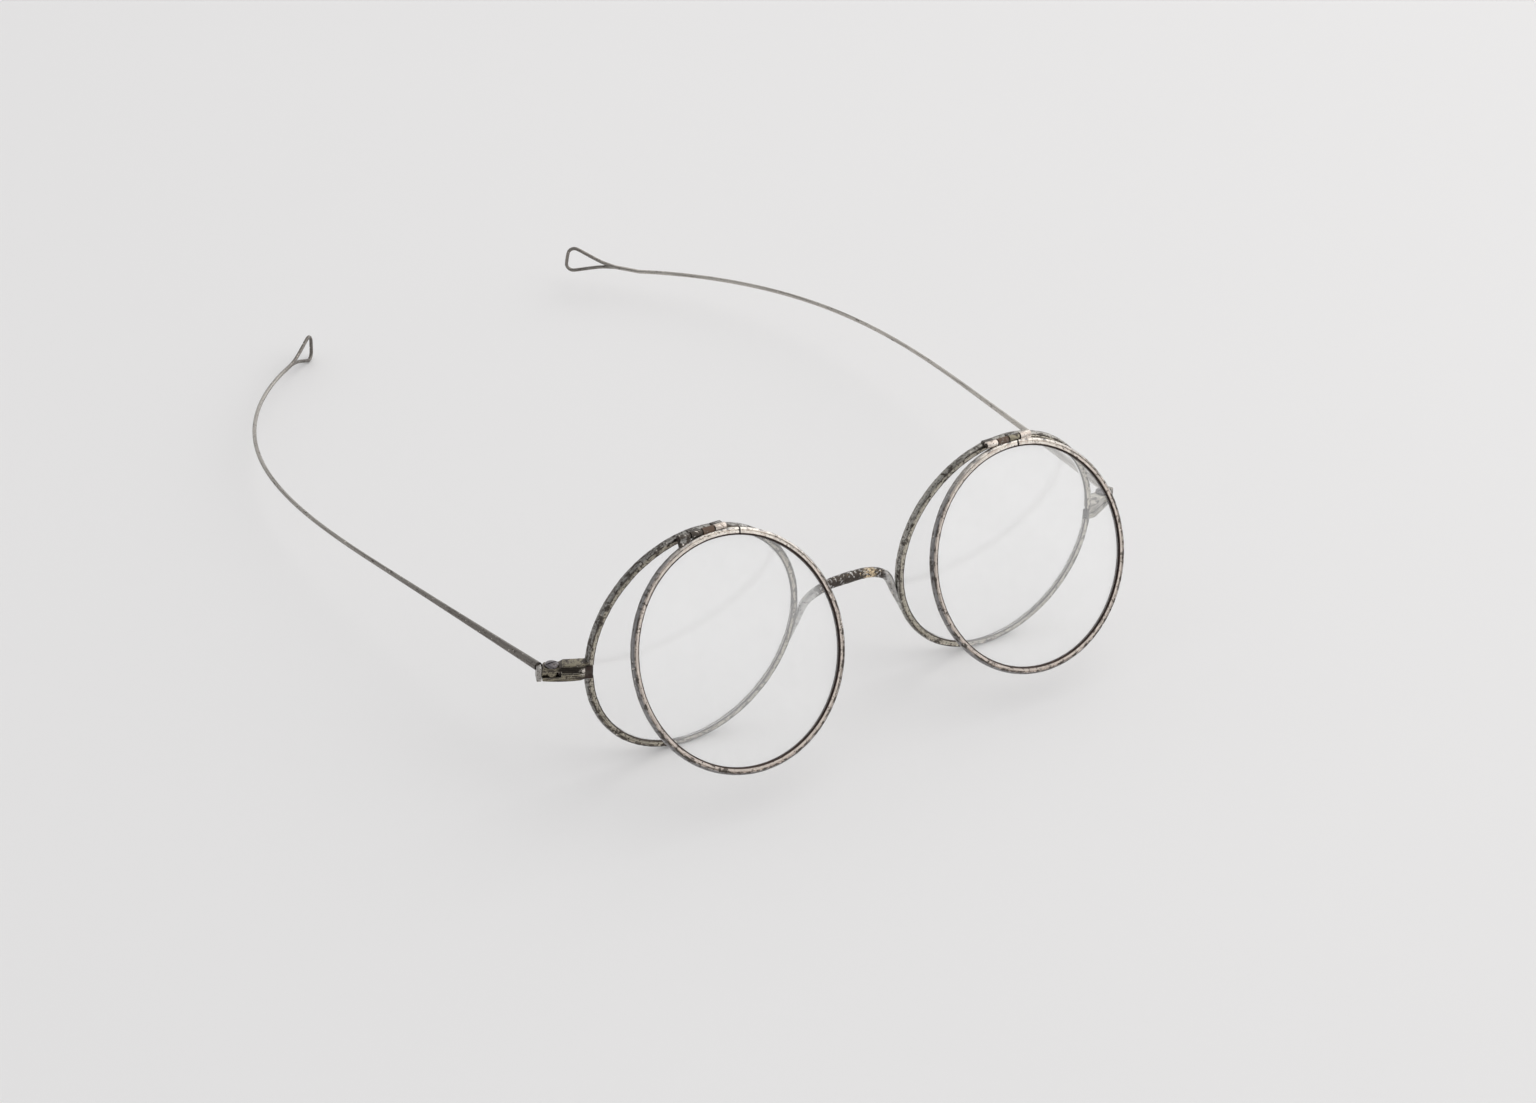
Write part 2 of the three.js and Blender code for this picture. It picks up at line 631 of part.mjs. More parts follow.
function loopHalf(side, half) {
  const path = loopPath(side, half);
  const { across } = templeAxes(side, TEMPLE_LENGTH);
  const radius = LOOP_WIRE_DIAMETER / 2;
  const rings = [];
  for (let i = 0; i <= LOOP_STEPS; i += 1) {
    const t = i / LOOP_STEPS;
    const out = path.getTangentAt(t).cross(across);
    rings.push(ovalRing(path.getPointAt(t), across, out, radius, radius, WIRE_SIDES));
  }
  return loft(rings);
}

function templeTongue(side) {
  const eye = rodAlongZ(TONGUE_RADIUS, TONGUE_THICKNESS, ROUND_SIDES);
  const neck = new THREE.BoxGeometry(BUTT_MIDDLE, TONGUE_NECK_WIDTH, TONGUE_THICKNESS);
  const butt = new THREE.BoxGeometry(BUTT_THICKNESS, JOINT_WIDTH, 2 * JOINT_HALF_HEIGHT);
  const hole = rodAlongZ(SCREW_BORE_RADIUS, 2 * TONGUE_THICKNESS, BORE_SIDES);
  const body = toSolid(eye)
    .add(toSolid(neck.translate(BUTT_MIDDLE / 2, 0, 0)))
    .add(toSolid(butt.translate(BUTT_MIDDLE, 0, 0)))
    .subtract(toSolid(hole));
  return toGeometry(body).rotateZ(rad(JOINT_SWEEP)).rotateY(rad(side.jointLean));
}

function temple(side) {
  const wire = toSolid(templeWire(side));
  const loop = toSolid(loopHalf(side, 1)).add(toSolid(loopHalf(side, -1)));
  return toGeometry(wire.add(loop).add(toSolid(templeTongue(side))));
}

// Assembly

function addPiece(group, name, geometry, look, side = SIDES.right) {
  const shape = side.sign < 0 ? mirrored(geometry) : welded(geometry);
  shape.computeVertexNormals();
  const mesh = new THREE.Mesh(shape, new THREE.MeshStandardMaterial(look));
  mesh.name = name;
  group.add(mesh);
  return mesh;
}

function groupAt(parent, x, y, z) {
  const group = new THREE.Group();
  group.position.set(x, y, z);
  parent.add(group);
  return group;
}

const front = new THREE.Group();
addPiece(front, 'bridge', bridge(), TARNISHED_METAL);

for (const [label, side] of Object.entries(SIDES)) {
  const eye = groupAt(front, side.sign * LENS_X, 0, 0);
  addPiece(eye, `${label}_eyewire`, eyewire(), TARNISHED_METAL, side);
  addPiece(eye, `${label}_lens`, lens(EYEWIRE), CLEAR_GLASS, side);

  const hinge = groupAt(eye, 0, -HINGE_FORWARD, HINGE_RISE);
  addPiece(hinge, `${label}_fixed_knuckle_inner`, fixedKnuckle(0), TARNISHED_METAL, side);
  addPiece(hinge, `${label}_fixed_knuckle_outer`, fixedKnuckle(2), TARNISHED_METAL, side);
  addPiece(hinge, `${label}_hinge_pin`, hingePin(), RUSTED_METAL, side);

  const flip = groupAt(hinge, 0, 0, 0);
  flip.rotation.x = -rad(side.flipOpen);
  addPiece(flip, `${label}_flip_rim`, flipRim(side), TARNISHED_METAL, side);
  addPiece(flip, `${label}_flip_lens`, flipLens(side), CLEAR_GLASS, side);
  addPiece(flip, `${label}_flip_knuckle_inner`, flipKnuckle(side, 1), RUSTED_METAL, side);
  addPiece(flip, `${label}_flip_knuckle_outer`, flipKnuckle(side, 3), RUSTED_METAL, side);

  addPiece(front, `${label}_joint_upper`, jointHalf(side, upperProfile()), TARNISHED_METAL, side);
  addPiece(front, `${label}_joint_lower`, jointHalf(side, lowerProfile()), TARNISHED_METAL, side);
  const pivot = groupAt(front, side.sign * JOINT_PIVOT.x, JOINT_PIVOT.y, JOINT_PIVOT.z);
  addPiece(pivot, `${label}_joint_screw`, jointScrew(side), TARNISHED_METAL, side);
  addPiece(pivot, `${label}_temple`, temple(side), TARNISHED_METAL, side);
}

// How far the front leans back so that the eyewires and the lower loop stand on one plane
function leanAngle() {
  const wire = LOOP_WIRE_DIAMETER / 2;
  const lowerHalves = Object.values(SIDES).map((side) => loopPath(side, -1));
  const points = lowerHalves.flatMap((path) => path.getPoints(4 * LOOP_STEPS));
  points.forEach((point) => point.add(JOINT_PIVOT));
  const height = (point, lean) => point.z * Math.cos(lean) - point.y * Math.sin(lean) - wire;
  const loopHeight = (lean) => Math.min(...points.map((point) => height(point, lean)));
  let low = -Math.PI / 4;
  let high = Math.PI / 4;
  for (let i = 0; i < 50; i += 1) {
    const lean = (low + high) / 2;
    if (loopHeight(lean) > -EYEWIRE.radius * Math.cos(lean)) low = lean;
    else high = lean;
  }
  return low;
}

front.rotation.x = -leanAngle();

// The origin is the middle of the footprint, on the surface that the spectacles stand on
const spectacles = new THREE.Group();
spectacles.add(front);
spectacles.updateMatrixWorld(true);
const box = new THREE.Box3().setFromObject(spectacles, true);
const middle = box.getCenter(new THREE.Vector3());
front.position.set(-middle.x, -middle.y, -box.min.z);

export default spectacles;
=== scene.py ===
import json
import math

import bmesh
import bpy
from bpy.props import FloatProperty, FloatVectorProperty, PointerProperty
from mathutils import Matrix, Vector
from mathutils.kdtree import KDTree


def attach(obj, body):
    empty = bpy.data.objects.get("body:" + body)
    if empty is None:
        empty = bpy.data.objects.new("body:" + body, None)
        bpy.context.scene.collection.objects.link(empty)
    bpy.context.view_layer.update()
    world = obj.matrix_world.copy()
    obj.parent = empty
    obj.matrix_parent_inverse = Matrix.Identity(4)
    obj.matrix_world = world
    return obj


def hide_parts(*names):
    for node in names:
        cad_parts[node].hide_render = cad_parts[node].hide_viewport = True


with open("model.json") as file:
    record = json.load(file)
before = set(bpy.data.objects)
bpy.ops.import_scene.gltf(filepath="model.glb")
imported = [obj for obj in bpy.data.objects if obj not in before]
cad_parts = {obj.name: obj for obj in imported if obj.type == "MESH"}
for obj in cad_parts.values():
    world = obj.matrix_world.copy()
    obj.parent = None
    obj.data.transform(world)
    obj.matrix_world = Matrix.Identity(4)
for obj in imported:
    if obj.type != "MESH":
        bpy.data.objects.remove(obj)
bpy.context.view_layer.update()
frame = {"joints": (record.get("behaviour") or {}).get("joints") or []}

bl_info = {
    "name": "Flip-up Spectacles",
    "version": (1, 0, 0),
    "blender": (4, 5, 0),
    "location": "View3D > Sidebar > Spectacles",
    "description": "Models and finishes old wire spectacles with a second pair of lenses that flips up",
    "category": "Object",
}

# Pieces are drawn in millimetres, upright, for the right side of the front as the viewer faces it.
# settle() then scales each one to metres and puts it where its solid is.
MM = 0.001
JOINTS = {joint["name"]: joint for joint in frame["joints"]}
SIDES = ("left", "right")
LEAN = math.atan2(-JOINTS["left_temple_fold"]["axis"][1], -JOINTS["left_temple_fold"]["axis"][2])

# Bends and settings of this one pair, in millimetres and degrees
FLIP_SHIFT = {"left": 2.0, "right": 0.0}
FLIP_SEAM = {"left": -14.0, "right": 4.7}
TEMPLE_DROP = {"left": 4.3, "right": 3.5}
TAIL_LIFT = {"left": -2.2, "right": 8.8}
JOINT_DROP = 0.3
SOLDER_GAP = 0.03
# How far the block that closes an eyewire reaches forwards, outwards and up
BLOCK_REACH = {"left": (0.9, 0.75, 1.15), "right": (0.61, 0.3, 1.02)}
# From the camera to the middle of the front: across, down and ahead
CAMERA_OFFSET = (13.11, 5.85, 691.67)

# Steps round and along the pieces
RIM_STEPS = 420
LENS_STEPS = 144
LENS_RINGS = 12
BRIDGE_STEPS = 60
WIRE_STEPS = 270
LOOP_STEPS = 120
CURVE_STEPS = 24
# Knots between which the points of a smooth line are mixed, pair by pair, in three rounds
CURVE_SPANS = (((0, 1), (1, 2), (2, 3)), ((0, 2), (1, 3)), ((1, 2),))
SHARP_EDGE = math.radians(35)
# Longer than anything that a tool cuts through
CUT_LENGTH = 12

# Colour names of each metal (base, dark, worn), and its shares of tarnish, speckle and wear
METALS = {
    "left_eyewire_metal": ("patina_face", "tarnish", "worn", 0.4, 0.27, 0.06),
    "right_eyewire_metal": ("pale_face", "tarnish", "worn", 0.34, 0.25, 0.06),
    "flip_rim_metal": ("flip_face", "tarnish", "worn", 0.3, 0.15, 0.08),
    "left_temple_metal": ("wire_metal", "tarnish", "worn", 0.24, 0.07, 0.04),
    "right_temple_metal": ("pale_wire", "tarnish", "worn", 0.2, 0.07, 0.04),
    "left_joint_metal": ("olive", "tarnish", "worn", 0.3, 0.12, 0.02),
    "right_joint_metal": ("edge", "tarnish", "worn", 0.2, 0.12, 0.12),
    "bridge_metal": ("foot", "tarnish", "brass", 0.4, 0.18, 0.06),
    # Pale finish of the bright knuckles: worn metal and a painted highlight
    "bright_knuckle_metal": ("flip_face", "rust", "worn", 0.16, 0.12, 0.3),
    "pitted_knuckle_metal": ("patina", "tarnish", "worn", 0.78, 0.3, 0.11),
    "olive_knuckle_metal": ("olive", "tarnish", "worn", 0.35, 0.15, 0.05),
    "rusted_knuckle_metal": ("patina", "tarnish", "worn", 0.4, 0.2, 0.05),
    "screw_metal": ("screw", "tarnish", "worn", 0.3, 0.12, 0.01),
    "butt_plate_metal": ("butt", "tarnish", "worn", 0.25, 0.15, 0.05),
    # Near-black metal of the hinge pins and closing blocks, and painted shade on the faces inside each
    # joint's split
    "closing_block_metal": ("tarnish", "flip_groove", "worn", 0.4, 0.2, 0.0),
    # Pale rounded edges of the joints: rubbed metal, and a painted highlight along the bevels
    "rubbed_edge_metal": ("edge", "olive", "worn", 0.4, 0.15, 0.1),
}
# Metals of the knuckles of each hinge, from the nose outwards. The pale finish of the bright knuckles is
# partly worn metal and partly a painted highlight
KNUCKLES = {
    "left": ("bright", "rusted", "pitted", "pitted"),
    "right": ("bright", "rusted", "olive", "bright"),
}
# DEEP_PIT is also the near-black of the band on the front faces
DEEP_PIT = (0.02, 0.017, 0.015)
DRAWN_PIT = (0.025, 0.02, 0.017)
BUMP_HEIGHT = 0.0001


# Settings that a user would change

def length(name, description, millimetres):
    return FloatProperty(
        name=name, description=description, default=millimetres * MM, unit="LENGTH", precision=5
    )


def angle(name, description, degrees):
    return FloatProperty(name=name, description=description, default=math.radians(degrees), subtype="ANGLE")


def level(name, description, value, unit="NONE"):
    return FloatProperty(name=name, description=description, default=value, min=0.0, unit=unit)


def colour(name, description, value):
    return FloatVectorProperty(
        name=name, description=description, default=value, size=3, min=0.0, max=1.0, subtype="COLOR"
    )


class RimSizes(bpy.types.PropertyGroup):
    """Sizes of the eyewires, the flip rims and their lenses"""

    eyewire_radius: length("Eyewire radius", "Outer radius of a fixed eyewire", 20.68)
    eyewire_wall: length("Eyewire wall", "Radial thickness of a fixed eyewire", 1.35)
    eyewire_depth: length("Eyewire depth", "Thickness of a fixed eyewire, front to back", 1.28)
    eyewire_groove_width: length("Eyewire groove width", "Width of the lens groove", 0.84)
    eyewire_groove_depth: length("Eyewire groove depth", "Depth of the lens groove", 0.5)
    eyewire_opening: length("Eyewire opening", "Gap in the eyewire that its joint closes", 2.1)
    eyewire_back: length("Back lip", "How much lower the back lip of an eyewire is than its front lip", 0.3)
    flip_radius: length("Flip rim radius", "Outer radius of a flip rim", 20.15)
    flip_wall: length("Flip rim wall", "Radial thickness of a flip rim", 1.24)
    flip_depth: length("Flip rim depth", "Thickness of a flip rim, front to back", 1.2)
    flip_groove_width: length("Flip groove width", "Width of the flip lens groove", 0.76)
    flip_groove_depth: length("Flip groove depth", "Depth of the flip lens groove", 0.45)
    flip_seam: length("Flip seam", "Gap at the closing seam of a flip rim", 0.22)
    lip: length("Lip rounding", "Rounding of the lips beside the groove", 0.16)
    line: length("Scored line", "Depth of the fine line scored round each face of a rim", 0.09)
    lens_clearance: length("Lens clearance", "Gap between a lens and its groove", 0.05)
    lens_thickness: length("Lens thickness", "Thickness of a lens at its middle", 1.2)


class HingeSizes(bpy.types.PropertyGroup):
    """Sizes of the top hinges"""

    forward: length("Hinge forward", "How far the pin lies in front of the eyewire's middle", 1.38)
    rise: length("Hinge rise", "How far the pin lies above the lens centre", 20.45)
    pin_radius: length("Pin radius", "Radius of a hinge pin", 0.26)
    pin_clearance: length("Pin clearance", "Gap between pin and knuckle", 0.04)
    head_radius: length("Pin head radius", "Radius of a peened pin head", 0.42)
    head_height: length("Pin head height", "Height of a peened pin head", 0.2)
    knuckle_wall: length("Knuckle wall", "Wall of a hinge knuckle", 0.295)
    knuckle_length: length("Knuckle length", "Length of a hinge knuckle", 2.1)
    knuckle_gap: length("Knuckle gap", "Gap between two knuckles", 0.22)
    barrel_clearance: length("Barrel clearance", "Room left round the knuckles in the flip rim", 0.08)
    strap_thickness: length("Strap thickness", "Thickness of the strap over the eyewire", 0.45)
    strap_overlap: length("Strap overlap", "How far the strap lies over the eyewire", 0.9)
    foot_width: length("Foot width", "Width of the foot of a flip knuckle", 0.8)


class JointSizes(bpy.types.PropertyGroup):
    """Sizes of the endpiece joints and their screws"""

    sweep: angle("Joint sweep", "How far a joint sweeps back", 25)
    pivot_reach: length("Pivot reach", "From the eyewire's wall to the screw", 6.0)
    end_reach: length("End reach", "From the screw to the end of the joint", 1.6)
    width: length("Joint width", "Width of a joint", 2.3)
    root_width: length("Root width", "Width of a joint at the eyewire", 1.3)
    root_length: length("Root length", "Length of the taper at the eyewire", 1.4)
    arm: length("Arm thickness", "Thickness of a fork arm", 0.74)
    block_rise: length("Block rise", "Rise of the block above the fork arm", 0.4)
    block_start: length("Block start", "Where the block starts to slope up to the rim", 1.9)
    block_ramp: length("Block ramp", "Length of the slope towards the screw", 0.7)
    rim_rise: length("Rim rise", "Rise of the slope at the rim", 0.4)
    belly: length("Belly", "Rounding of the underside", 0.25)
    split: length("Split", "Gap between the two halves", 0.12)
    shank_radius: length("Screw shank radius", "Radius of the screw shank", 0.5)
    screw_head_radius: length("Screw head radius", "Radius of the screw head", 1.15)
    screw_head_edge: length("Screw head edge", "Height of the head's straight edge", 0.16)
    screw_head_height: length("Screw head height", "Height of the screw head", 0.5)
    slot_width: length("Screw slot width", "Width of the screwdriver slot", 0.28)
    slot_depth: length("Screw slot depth", "Depth of the screwdriver slot", 0.22)
    screw_clearance: length("Screw clearance", "Gap round the screw", 0.06)


class TempleSizes(bpy.types.PropertyGroup):
    """Sizes of the temples"""

    tongue_radius: length("Tongue radius", "Radius of the pierced tongue", 1.1)
    tongue_thickness: length("Tongue thickness", "Thickness of the pierced tongue", 0.8)
    tongue_neck: length("Tongue neck", "Width of the tongue's neck", 1.5)
    tongue_clearance: length("Tongue clearance", "Gap above and below the tongue", 0.06)
    shoulder_clearance: length("Shoulder clearance", "Gap between tongue and fork shoulder", 0.35)
    butt_gap: length("Butt gap", "Gap between joint and butt", 0.1)
    butt_thickness: length("Butt thickness", "Thickness of the butt plate", 0.85)
    root_offset: length("Root offset", "How far back on the butt the wire starts", 0.45)
    root_rise: length("Root rise", "How far up on the butt the wire starts", 0.8)
    root_diameter: length("Root diameter", "Diameter of the wire at the butt", 1.5)
    tip_diameter: length("Tip diameter", "Diameter of the wire beyond its taper", 0.73)
    taper: length("Taper", "Length over which the wire tapers", 62)
    spread: angle("Spread", "How far the wire spreads outwards at its root", 4.95)
    straight: length("Straight", "Straight stretch of the wire", 41)
    ease: length("Ease", "Stretch in which the wire starts to turn", 56)
    curl: length("Curl", "Stretch with an even bend", 31.8)
    curl_radius: length("Curl radius", "Radius of the even bend", 61)
    tail: length("Tail", "Straight end before the loop", 6)
    loop_length: length("Loop length", "Length of the end loop", 8.3)
    loop_half_height: length("Loop half height", "Half the height of the end loop", 2.3)
    loop_corner: length("Loop corner", "Corner radius of the end loop", 1.3)
    loop_wire: length("Loop wire", "Diameter of the loop's wire", 0.655)
    loop_neck: length("Loop neck", "Length over which the loop parts from the wire", 1.5)


class BridgeSizes(bpy.types.PropertyGroup):
    """Sizes of the bridge"""

    rise: length("Bridge rise", "Height of the crown above the lens centres", 1.55)
    crown_sag: length("Crown sag", "Drop of the crown at its ends", 0.35)
    shoulder_inset: length("Shoulder inset", "Gap between shoulder and eyewire", 2.0)
    shoulder_run: length("Shoulder run", "Width of a shoulder", 3.3)
    shoulder_drop: length("Shoulder drop", "Drop of a shoulder", 0.35)
    knee_drop: length("Knee drop", "Drop of the bend onto the eyewire", 3.1)
    foot_drop: length("Foot drop", "Drop of the end of a foot", 8.6)
    crown_height: length("Crown height", "Height of the wire at the crown", 2.08)
    crown_depth: length("Crown depth", "Depth of the wire at the crown", 1.75)
    foot_height: length("Foot height", "Thickness of a foot on the eyewire", 0.75)
    foot_depth: length("Foot depth", "Depth of a foot", 1.0)
    set_back: length("Set back", "How far the bridge sits behind the front", 0.15)


class Finishes(bpy.types.PropertyGroup):
    """Colours of the metal and the glass"""

    patina: colour("Patina", "Blue-grey crest of the eyewires", (0.3, 0.293, 0.278))
    patina_face: colour("Patina face", "Tan front face of the eyewires", (0.5, 0.46, 0.38))
    # Paler copies of the eyewire colours, used on the right eyewire
    pale_patina: colour("Pale patina", "Crest of the cleaner right eyewire", (0.37, 0.358, 0.33))
    pale_face: colour("Pale face", "Front face of the cleaner right eyewire", (0.56, 0.52, 0.44))
    groove: colour("Groove", "Grimy groove of the eyewires", (0.08, 0.068, 0.06))
    tarnish: colour("Tarnish", "Dark tarnish patches", (0.075, 0.064, 0.056))
    worn: colour("Worn metal", "Metal rubbed bright", (0.76, 0.71, 0.65))
    flip_metal: colour("Flip rim metal", "Grey crest of the flip rims", (0.28, 0.272, 0.272))
    flip_face: colour("Flip rim face", "Pinkish front face of the flip rims", (0.6, 0.53, 0.475))
    flip_groove: colour("Flip rim groove", "Dark brown groove of the flip rims", (0.055, 0.04, 0.036))
    wire_metal: colour("Wire metal", "Grey of the left temple", (0.34, 0.32, 0.295))
    # Paler copy of the wire colour, used on the right temple
    pale_wire: colour("Pale wire", "Grey of the cleaner right temple", (0.5, 0.472, 0.435))
    olive: colour("Olive", "Olive-brown of the joints", (0.26, 0.235, 0.175))
    brass: colour("Brass", "Golden metal where the bridge is worn through", (0.75, 0.6, 0.4))
    rust: colour("Rust", "Brown rust of the hinges", (0.13, 0.082, 0.056))
    # On the joints' rounded edges this pale colour is partly rubbed metal and partly a painted highlight
    edge: colour("Edge", "Edges of the joints, rubbed pale", (0.4, 0.375, 0.32))
    butt: colour("Butt", "Pale plates at the roots of the temples", (0.34, 0.325, 0.305))
    foot: colour("Bridge foot", "Smooth pale feet of the bridge", (0.55, 0.54, 0.525))
    screw: colour("Screw", "Dark screw heads", (0.17, 0.158, 0.165))
    glass: colour("Glass", "Tint of the lenses", (0.998, 0.999, 1.0))


class StageSettings(bpy.types.PropertyGroup):
    """Floor, light and camera"""

    paper: colour("Paper", "Colour of the floor", (0.864, 0.858, 0.862))
    horizon: level("Horizon", "Strength of the light from low all round", 0.95)
    ceiling: level("Ceiling", "Strength of the light from above", 0.41)
    key: level("Key light", "Power of the soft light on the right", 11.0, "POWER")
    fill: level("Fill light", "Power of the soft light on the left", 1.6, "POWER")
    azimuth: angle("Camera azimuth", "Camera direction round the front", -35.89)
    elevation: angle("Camera elevation", "Camera height above the front's level", 30.93)
    roll: angle("Camera roll", "Turn of the picture", 3.23)
    focal: level("Focal length", "Focal length on a 36 mm sensor", 96.605, "CAMERA")


def sizes(group):
    """The lengths of a group in millimetres and its angles in radians, by name"""
    settings = getattr(bpy.context.scene.spectacles, group)
    found = {}
    for name, prop in settings.bl_rna.properties.items():
        if prop.type == "FLOAT" and not prop.is_array:
            value = getattr(settings, name)
            found[name] = value / MM if prop.unit == "LENGTH" else value
    return type("Sizes", (), found)


def rim_sizes(kind):
    """Outer radius, wall, depth, groove width and groove depth of the eyewires or the flip rims"""
    rims = sizes("rims")
    parts = ("radius", "wall", "depth", "groove_width", "groove_depth")
    return [getattr(rims, f"{kind}_{part}") for part in parts]


def hinge_sizes():
    """Sizes of the top hinges and what follows from them"""
    hinge = sizes("hinges")
    hinge.bore = hinge.pin_radius + hinge.pin_clearance
    hinge.radius = hinge.bore + hinge.knuckle_wall
    hinge.pitch = hinge.knuckle_length + hinge.knuckle_gap
    hinge.barrel = 4 * hinge.pitch - hinge.knuckle_gap
    hinge.shoulder = hinge.barrel / 2 + SOLDER_GAP
    return hinge


def joint_sizes():
    """Sizes of the joints and what follows from them and from the tongues that they hold"""
    joint = sizes("joints")
    temple = sizes("temples")
    joint.inner = temple.tongue_thickness / 2 + temple.tongue_clearance
    joint.outer = joint.inner + joint.arm
    joint.shoulder = joint.pivot_reach - temple.tongue_radius - temple.shoulder_clearance
    joint.end = joint.pivot_reach + joint.end_reach
    joint.hole = joint.shank_radius + joint.screw_clearance
    return joint


def temple_sizes():
    """Sizes of the temples and what follows from them"""
    temple = sizes("temples")
    temple.tail_start = temple.straight + temple.ease + temple.curl
    temple.total = temple.tail_start + temple.tail
    temple.butt_start = sizes("joints").end_reach + temple.butt_gap
    temple.butt_middle = temple.butt_start + temple.butt_thickness / 2
    return temple


# Places

def joint_place(name):
    return Matrix.Translation(JOINTS[name]["pos_m"]) @ Matrix.Rotation(-LEAN, 4, "X")


def handed(side):
    return Matrix.Scale(-1, 4, (1, 0, 0)) if side == "left" else Matrix.Identity(4)


def lens_offset():
    """From a hinge pin to the middle of the lens under it"""
    hinge = sizes("hinges")
    return Matrix.Translation((0, hinge.forward * MM, -hinge.rise * MM))


def eye_place(side):
    return joint_place(side + "_flip_up") @ lens_offset() @ handed(side)


def hinge_place(side):
    return joint_place(side + "_flip_up") @ handed(side)


def flip_place(side):
    opened = -JOINTS[side + "_flip_up"]["range_deg"][0]
    return joint_place(side + "_flip_up") @ Matrix.Rotation(-math.radians(opened), 4, "X") @ handed(side)


def pivot_place(side):
    return joint_place(side + "_temple_fold") @ handed(side)


def screw_place(side):
    """At a temple's pivot, leaning as its screw does"""
    lean = math.asin(JOINTS[side + "_temple_fold"]["axis"][0])
    return pivot_place(side) @ Matrix.Rotation(lean, 4, "Y")


def swept_place(side):
    """At a temple's pivot, along the joint that sweeps back"""
    return screw_place(side) @ Matrix.Rotation(sizes("joints").sweep, 4, "Z")


def front_place():
    left, right = (Vector(JOINTS[side + "_flip_up"]["pos_m"]) for side in SIDES)
    return Matrix.Translation((left + right) / 2) @ Matrix.Rotation(-LEAN, 4, "X") @ lens_offset()


# Modelling

def fresh():
    if bpy.context.mode != "OBJECT":
        bpy.ops.object.mode_set(mode="OBJECT")
    bpy.ops.object.select_all(action="DESELECT")


def hold(*pieces):
    """Selects the pieces and makes the first one active"""
    fresh()
    for piece in pieces:
        piece.select_set(True)
    bpy.context.view_layer.objects.active = pieces[0]


def edit(piece):
    hold(piece)
    bpy.ops.object.mode_set(mode="EDIT")


def done():
    bpy.ops.object.mode_set(mode="OBJECT")
    return bpy.context.object


def pick(kind, test):
    """Selects the vertices, edges or faces of the edited mesh that pass a test"""
    bpy.ops.mesh.select_mode(type=kind)
    bpy.ops.mesh.select_all(action="DESELECT")
    mesh = bmesh.from_edit_mesh(bpy.context.object.data)
    for item in {"VERT": mesh.verts, "EDGE": mesh.edges, "FACE": mesh.faces}[kind]:
        if test(item):
            item.select_set(True)
    mesh.select_flush_mode()
    bmesh.update_edit_mesh(bpy.context.object.data)


def face_outwards():
    """Turns all faces of the edited mesh outwards"""
    bpy.ops.mesh.select_all(action="SELECT")
    bpy.ops.mesh.normals_make_consistent(inside=False)


def close_shell():
    """Merges doubles, caps open ends and turns the faces of the edited mesh outwards"""
    bpy.ops.mesh.select_mode(type="VERT")
    bpy.ops.mesh.select_all(action="SELECT")
    bpy.ops.mesh.remove_doubles(threshold=0.0005)
    bpy.ops.mesh.fill_holes(sides=0)
    face_outwards()


def add_slots(piece, count):
    """Gives a piece room for at least this many finishes"""
    while len(piece.data.materials) < count:
        piece.data.materials.append(None)


def applied(piece, kind, **settings):
    """Adds a modifier to a piece and applies it"""
    modifier = piece.modifiers.new(kind.title(), kind)
    for key, value in settings.items():
        setattr(modifier, key, value)
    hold(piece)
    bpy.ops.object.modifier_apply(modifier=modifier.name)
    return piece


def carve(piece, tool, operation="DIFFERENCE"):
    applied(piece, "BOOLEAN", operation=operation, solver="EXACT", object=tool)
    bpy.data.objects.remove(tool, do_unlink=True)
    return piece


def soften(piece, width, segments=2):
    """Rounds the sharp edges of a piece; the rounded faces take its second finish"""
    add_slots(piece, 2)
    return applied(
        piece, "BEVEL", width=width, segments=segments, limit_method="ANGLE", angle_limit=SHARP_EDGE,
        use_clamp_overlap=True, material=1,
    )


def uneven(piece, grain, height):
    """Pushes the surface in and out a little, as wear, dents and old solder do"""
    texture = bpy.data.textures.new("dents", "CLOUDS")
    texture.noise_scale = grain
    texture.noise_depth = 2
    applied(piece, "DISPLACE", texture=texture, texture_coords="LOCAL", strength=height, mid_level=0.75)
    bpy.data.textures.remove(texture)
    return piece


def moved(piece, matrix):
    hold(piece)
    piece.matrix_world = matrix @ piece.matrix_world
    bpy.ops.object.transform_apply(location=True, rotation=True, scale=True)
    return piece


def shifted(piece, x, y, z):
    return moved(piece, Matrix.Translation((x, y, z)))


def quarter_turned(piece, axis, quarters=1):
    return moved(piece, Matrix.Rotation(quarters * math.pi / 2, 4, axis))


def copied(piece):
    hold(piece)
    bpy.ops.object.duplicate(linked=False)
    return bpy.context.object


def joined(*pieces):
    hold(*pieces)
    bpy.ops.object.join()
    return bpy.context.object


def refinish(piece, index, test):
    """Gives the faces that pass a test another of the piece's finishes"""
    add_slots(piece, index + 1)
    edit(piece)
    pick("FACE", test)
    piece.active_material_index = index
    bpy.ops.object.material_slot_assign()
    return done()


def settle(
    piece, name, place, finish, *nodes,
    body="front", slot="tarnished_metal", edge=None, inside=None, smooth=40,
):
    """Puts a finished piece in its place, on its body and in place of its solid"""
    piece.name = name
    piece.data.name = name
    moved(piece, place @ Matrix.Scale(MM, 4))
    bpy.ops.object.mode_set(mode="EDIT")
    face_outwards()
    done()
    bpy.ops.object.shade_smooth_by_angle(angle=math.radians(smooth))
    add_slots(piece, 1)
    for index, material in enumerate((finish, edge or finish, inside or finish)[: len(piece.data.materials)]):
        piece.data.materials[index] = material
    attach(piece, body)
    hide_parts(*nodes)


def mark_grain(piece, read):
    """Keeps, on each vertex, how far along the metal it lies and how far off its middle, in mm"""
    grain = piece.data.attributes.new("grain", "FLOAT_VECTOR", "POINT")
    for vertex, value in zip(piece.data.vertices, grain.data):
        value.vector = read(vertex.co)


